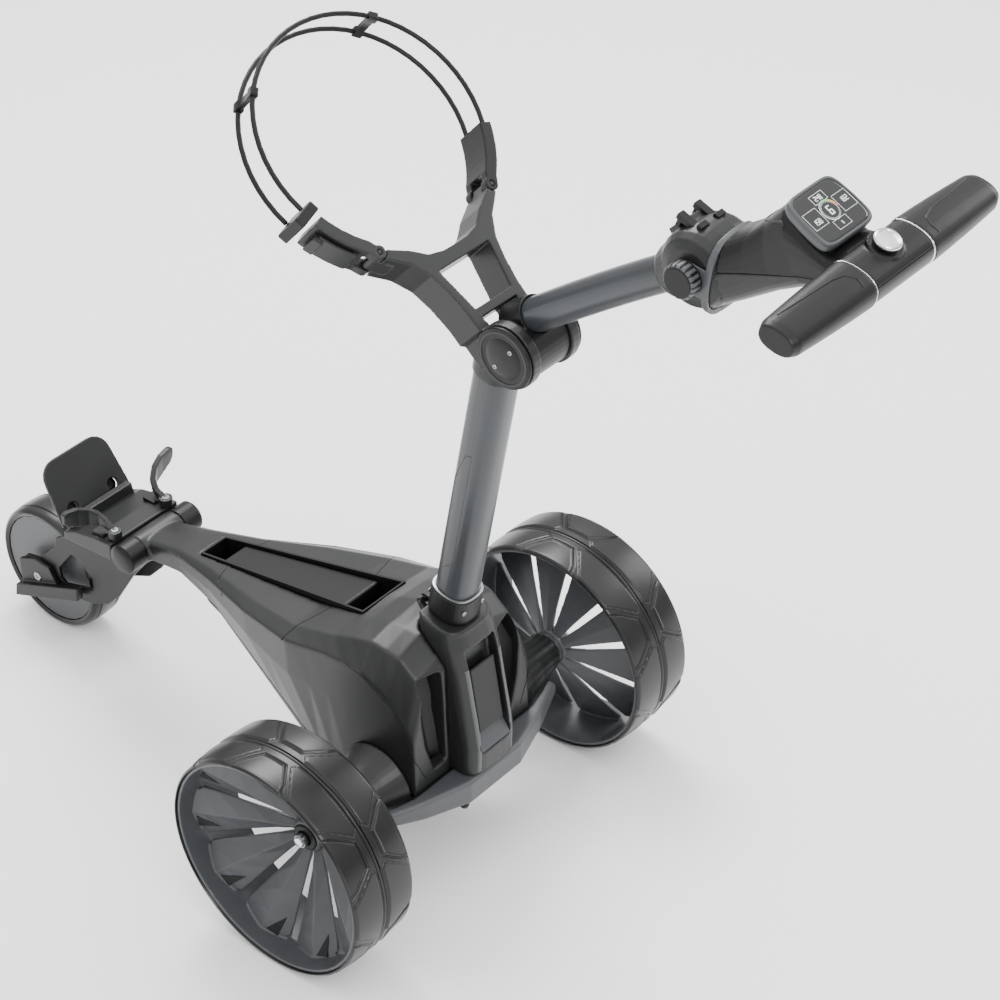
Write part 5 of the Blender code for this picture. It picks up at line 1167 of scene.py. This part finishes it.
# %% Fold caps, collar, tube panels
LEAN = math.radians(12.0)
MAST_UP = Vector((0.0, math.sin(LEAN), math.cos(LEAN)))
MAST_OUT = Vector((0.0, math.cos(LEAN), -math.sin(LEAN)))
MAST_FOOT = Vector((0.0, 0.0330, 0.3420))
fold_low, fold_high, FOLD = place("hinge_cap_left")
CAP_FACE = max(abs(fold_low.x), abs(fold_high.x))
CAP_R = (fold_high.z - fold_low.z) / 2
for side, tag in SIDES:
    face, outwards = (side * (CAP_FACE - 0.0004), FOLD.y, FOLD.z), (side, 0, 0)
    for name, slot, profile in (
            ("fold_disc", "dark_plastic", [(0.0, -0.001), (0.66, -0.001), (0.66, 0.0004),
                                           (0.61, 0.0012), (0.40, 0.0022), (0.0, 0.0028)]),
            ("fold_ring", "body_plastic", [(0.80, -0.0006), (0.90, -0.0006), (0.885, 0.0009),
                                           (0.85, 0.0012), (0.815, 0.0009), (0.80, -0.0006)])):
        turned(f"{name}_{tag}", [(CAP_R * r, h) for r, h in profile], face, outwards,
               "lower_mast", slot, count=72, sharp=35)
    heads = [screw((face[0] + side * 0.0016, FOLD.y + dy, FOLD.z + dz), outwards, 0.0026)
             for dy, dz in ((0.010, 0.012), (-0.010, -0.012))]
    piece(f"fold_screws_{tag}", *joined(*heads), "lower_mast", "steel", sharp=30)


def mast_outline(height, grow, count=64):
    """The lower tube's section at a height, grown by a little."""
    return superellipse(MAST_FOOT + MAST_UP * height, (1, 0, 0), MAST_OUT, 0.0220 + grow,
                        0.0230 + grow, count, 2.6)


piece("collar_line", *loft([mast_outline(h, g) for h, g in (
    (0.0350, 0.0006), (0.0350, 0.0030), (0.0366, 0.0032), (0.0370, 0.0022), (0.0370, 0.0004),
    (0.0350, 0.0004))], caps=False), "lower_mast", "steel", sharp=40)
collar_skin = surface_of("mast_collar")
heads = []
for x in (0.0150, -0.0150):
    for fall in (MAST_OUT * -1, MAST_OUT):
        spot = laid(collar_skin, [MAST_FOOT + MAST_UP * 0.020 + Vector((x, 0, 0))], fall)
        heads += [screw(p, -Vector(fall), 0.0030, 0.0014) for p in spot]
piece("collar_screws", *joined(*heads), "lower_mast", "steel", sharp=30)
PANEL = [(0.070, -0.0120), (0.085, -0.0165), (0.200, -0.0165), (0.240, -0.0060),
         (0.245, 0.0020), (0.085, 0.0020), (0.070, -0.0120)]
for side, tag in SIDES:
    panel = [MAST_FOOT + MAST_UP * h + MAST_OUT * o + Vector((side * 0.01, 0, 0))
             for h, o in PANEL]
    raised_lines(f"tube_panel_{tag}", "lower_tube", panel, (-side, 0, 0), 0.0008,
                 "lower_mast", "tube_paint")
print("fold joint", round(CAP_R * 2000), "mm across")


# %% [markdown]
# ## Bag ring details
# Two bridges hold the wires side by side. The strap lever is a ratchet: a curved cover over
# rows of teeth, with its hinge boss at the heel.

# %% Clips, ratchet
RING_TILT = math.radians(42.6)
RING_CENTRE = Vector((0.0, -0.0617, 0.8963))
RING_FORE = Vector((0.0, -math.cos(RING_TILT), math.sin(RING_TILT)))
RING_UP = Vector((0.0, math.sin(RING_TILT), math.cos(RING_TILT)))


def on_ring(x, s, n=0.0):
    """A point given across, along and out of the ring's own plane."""
    return RING_CENTRE + Vector((x, 0, 0)) + RING_FORE * s + RING_UP * n


def ring_bridge(x, s):
    """A small block that bridges both wires, turned to face the ring's centre."""
    out = Vector((x, s)).normalized()
    half_rows = [(0.0215, 0.0035, 0.0030), (0.0200, 0.0050, 0.0042),
                 (0.0120, 0.0050, 0.0042), (0.0090, 0.0040, 0.0026)]
    rows = [(-n, half, thick) for n, half, thick in half_rows] + half_rows[::-1]
    return loft([[on_ring(x - out.y * a * half + out.x * b * thick,
                          s + out.x * a * half + out.y * b * thick, n)
                  for a, b in ((-1, -1), (1, -1), (1, 1), (-1, 1))] for n, half, thick in rows])


def ring_slab(inner, outer, first, last, high, steps=14):
    """A curved slab between two radii and two angles, measured from the mast's side."""
    rings = []
    for k in range(steps + 1):
        angle = math.radians(first + (last - first) * k / steps)
        x, s = math.sin(angle), -math.cos(angle)
        rings.append([on_ring(r * x, r * s, n) for r, n in (
            (inner, -high), (outer, -high), (outer, high), (inner, high))])
    return loft(rings)


WIRE_LEVEL, SINK_IN = 0.0164, 0.0023
wire_skin = surface_of("wire_upper")
for number, (x, s) in enumerate(((-0.085, 0.100), (0.0967, 0.0911))):
    out = Vector((x, s)).normalized()
    start, middle = on_ring(out.x * 0.2, out.y * 0.2, WIRE_LEVEL), on_ring(0, 0, WIRE_LEVEL)
    hit = wire_skin.ray_cast(start + AXLE, middle - start)[0]
    if hit is not None:
        local = hit - AXLE - RING_CENTRE
        x, s = local.x - out.x * SINK_IN, local.dot(RING_FORE) - out.y * SINK_IN
    piece(f"wire_bridge_{number}", *ring_bridge(x, s), "ring", "dark_plastic", sharp=35)
TEETH, FIRST_TOOTH, TOOTH_PITCH, TOOTH_WIDE = 17, 48.0, 1.1, 0.55     # angles in degrees
teeth = [ring_slab(0.1402, 0.1424, a, a + TOOTH_WIDE, 0.0130, steps=2)
         for a in (FIRST_TOOTH + TOOTH_PITCH * k for k in range(TEETH))]
piece("lever_teeth", *joined(*teeth), "lever", "dark_plastic", sharp=25)
fused("lever_cover", [ring_slab(0.1425, 0.1460, 47.0, 64.0, 0.0150),
                      ring_slab(0.1405, 0.1432, 46.0, 48.5, 0.0150),
                      ring_slab(0.1405, 0.1500, 61.5, 65.5, 0.0120)],
      0.0006, 3, "lever", "body_plastic")
print("ring details made")


# %% [markdown]
# A plain pale floor catches the soft shadow.

# %% Floor
REACH = 30.0
floor_mesh = bpy.data.meshes.new("floor")
floor_mesh.from_pydata([(-REACH, -REACH, 0), (REACH, -REACH, 0), (REACH, REACH, 0),
                        (-REACH, REACH, 0)], [], [(0, 1, 2, 3)])
floor = placed("floor", floor_mesh)
floor_mesh.materials.append(recipe("pale_floor", (0.90, 0.90, 0.90), 0.7, 3.0, 0.01,
                                   variation=0.01))
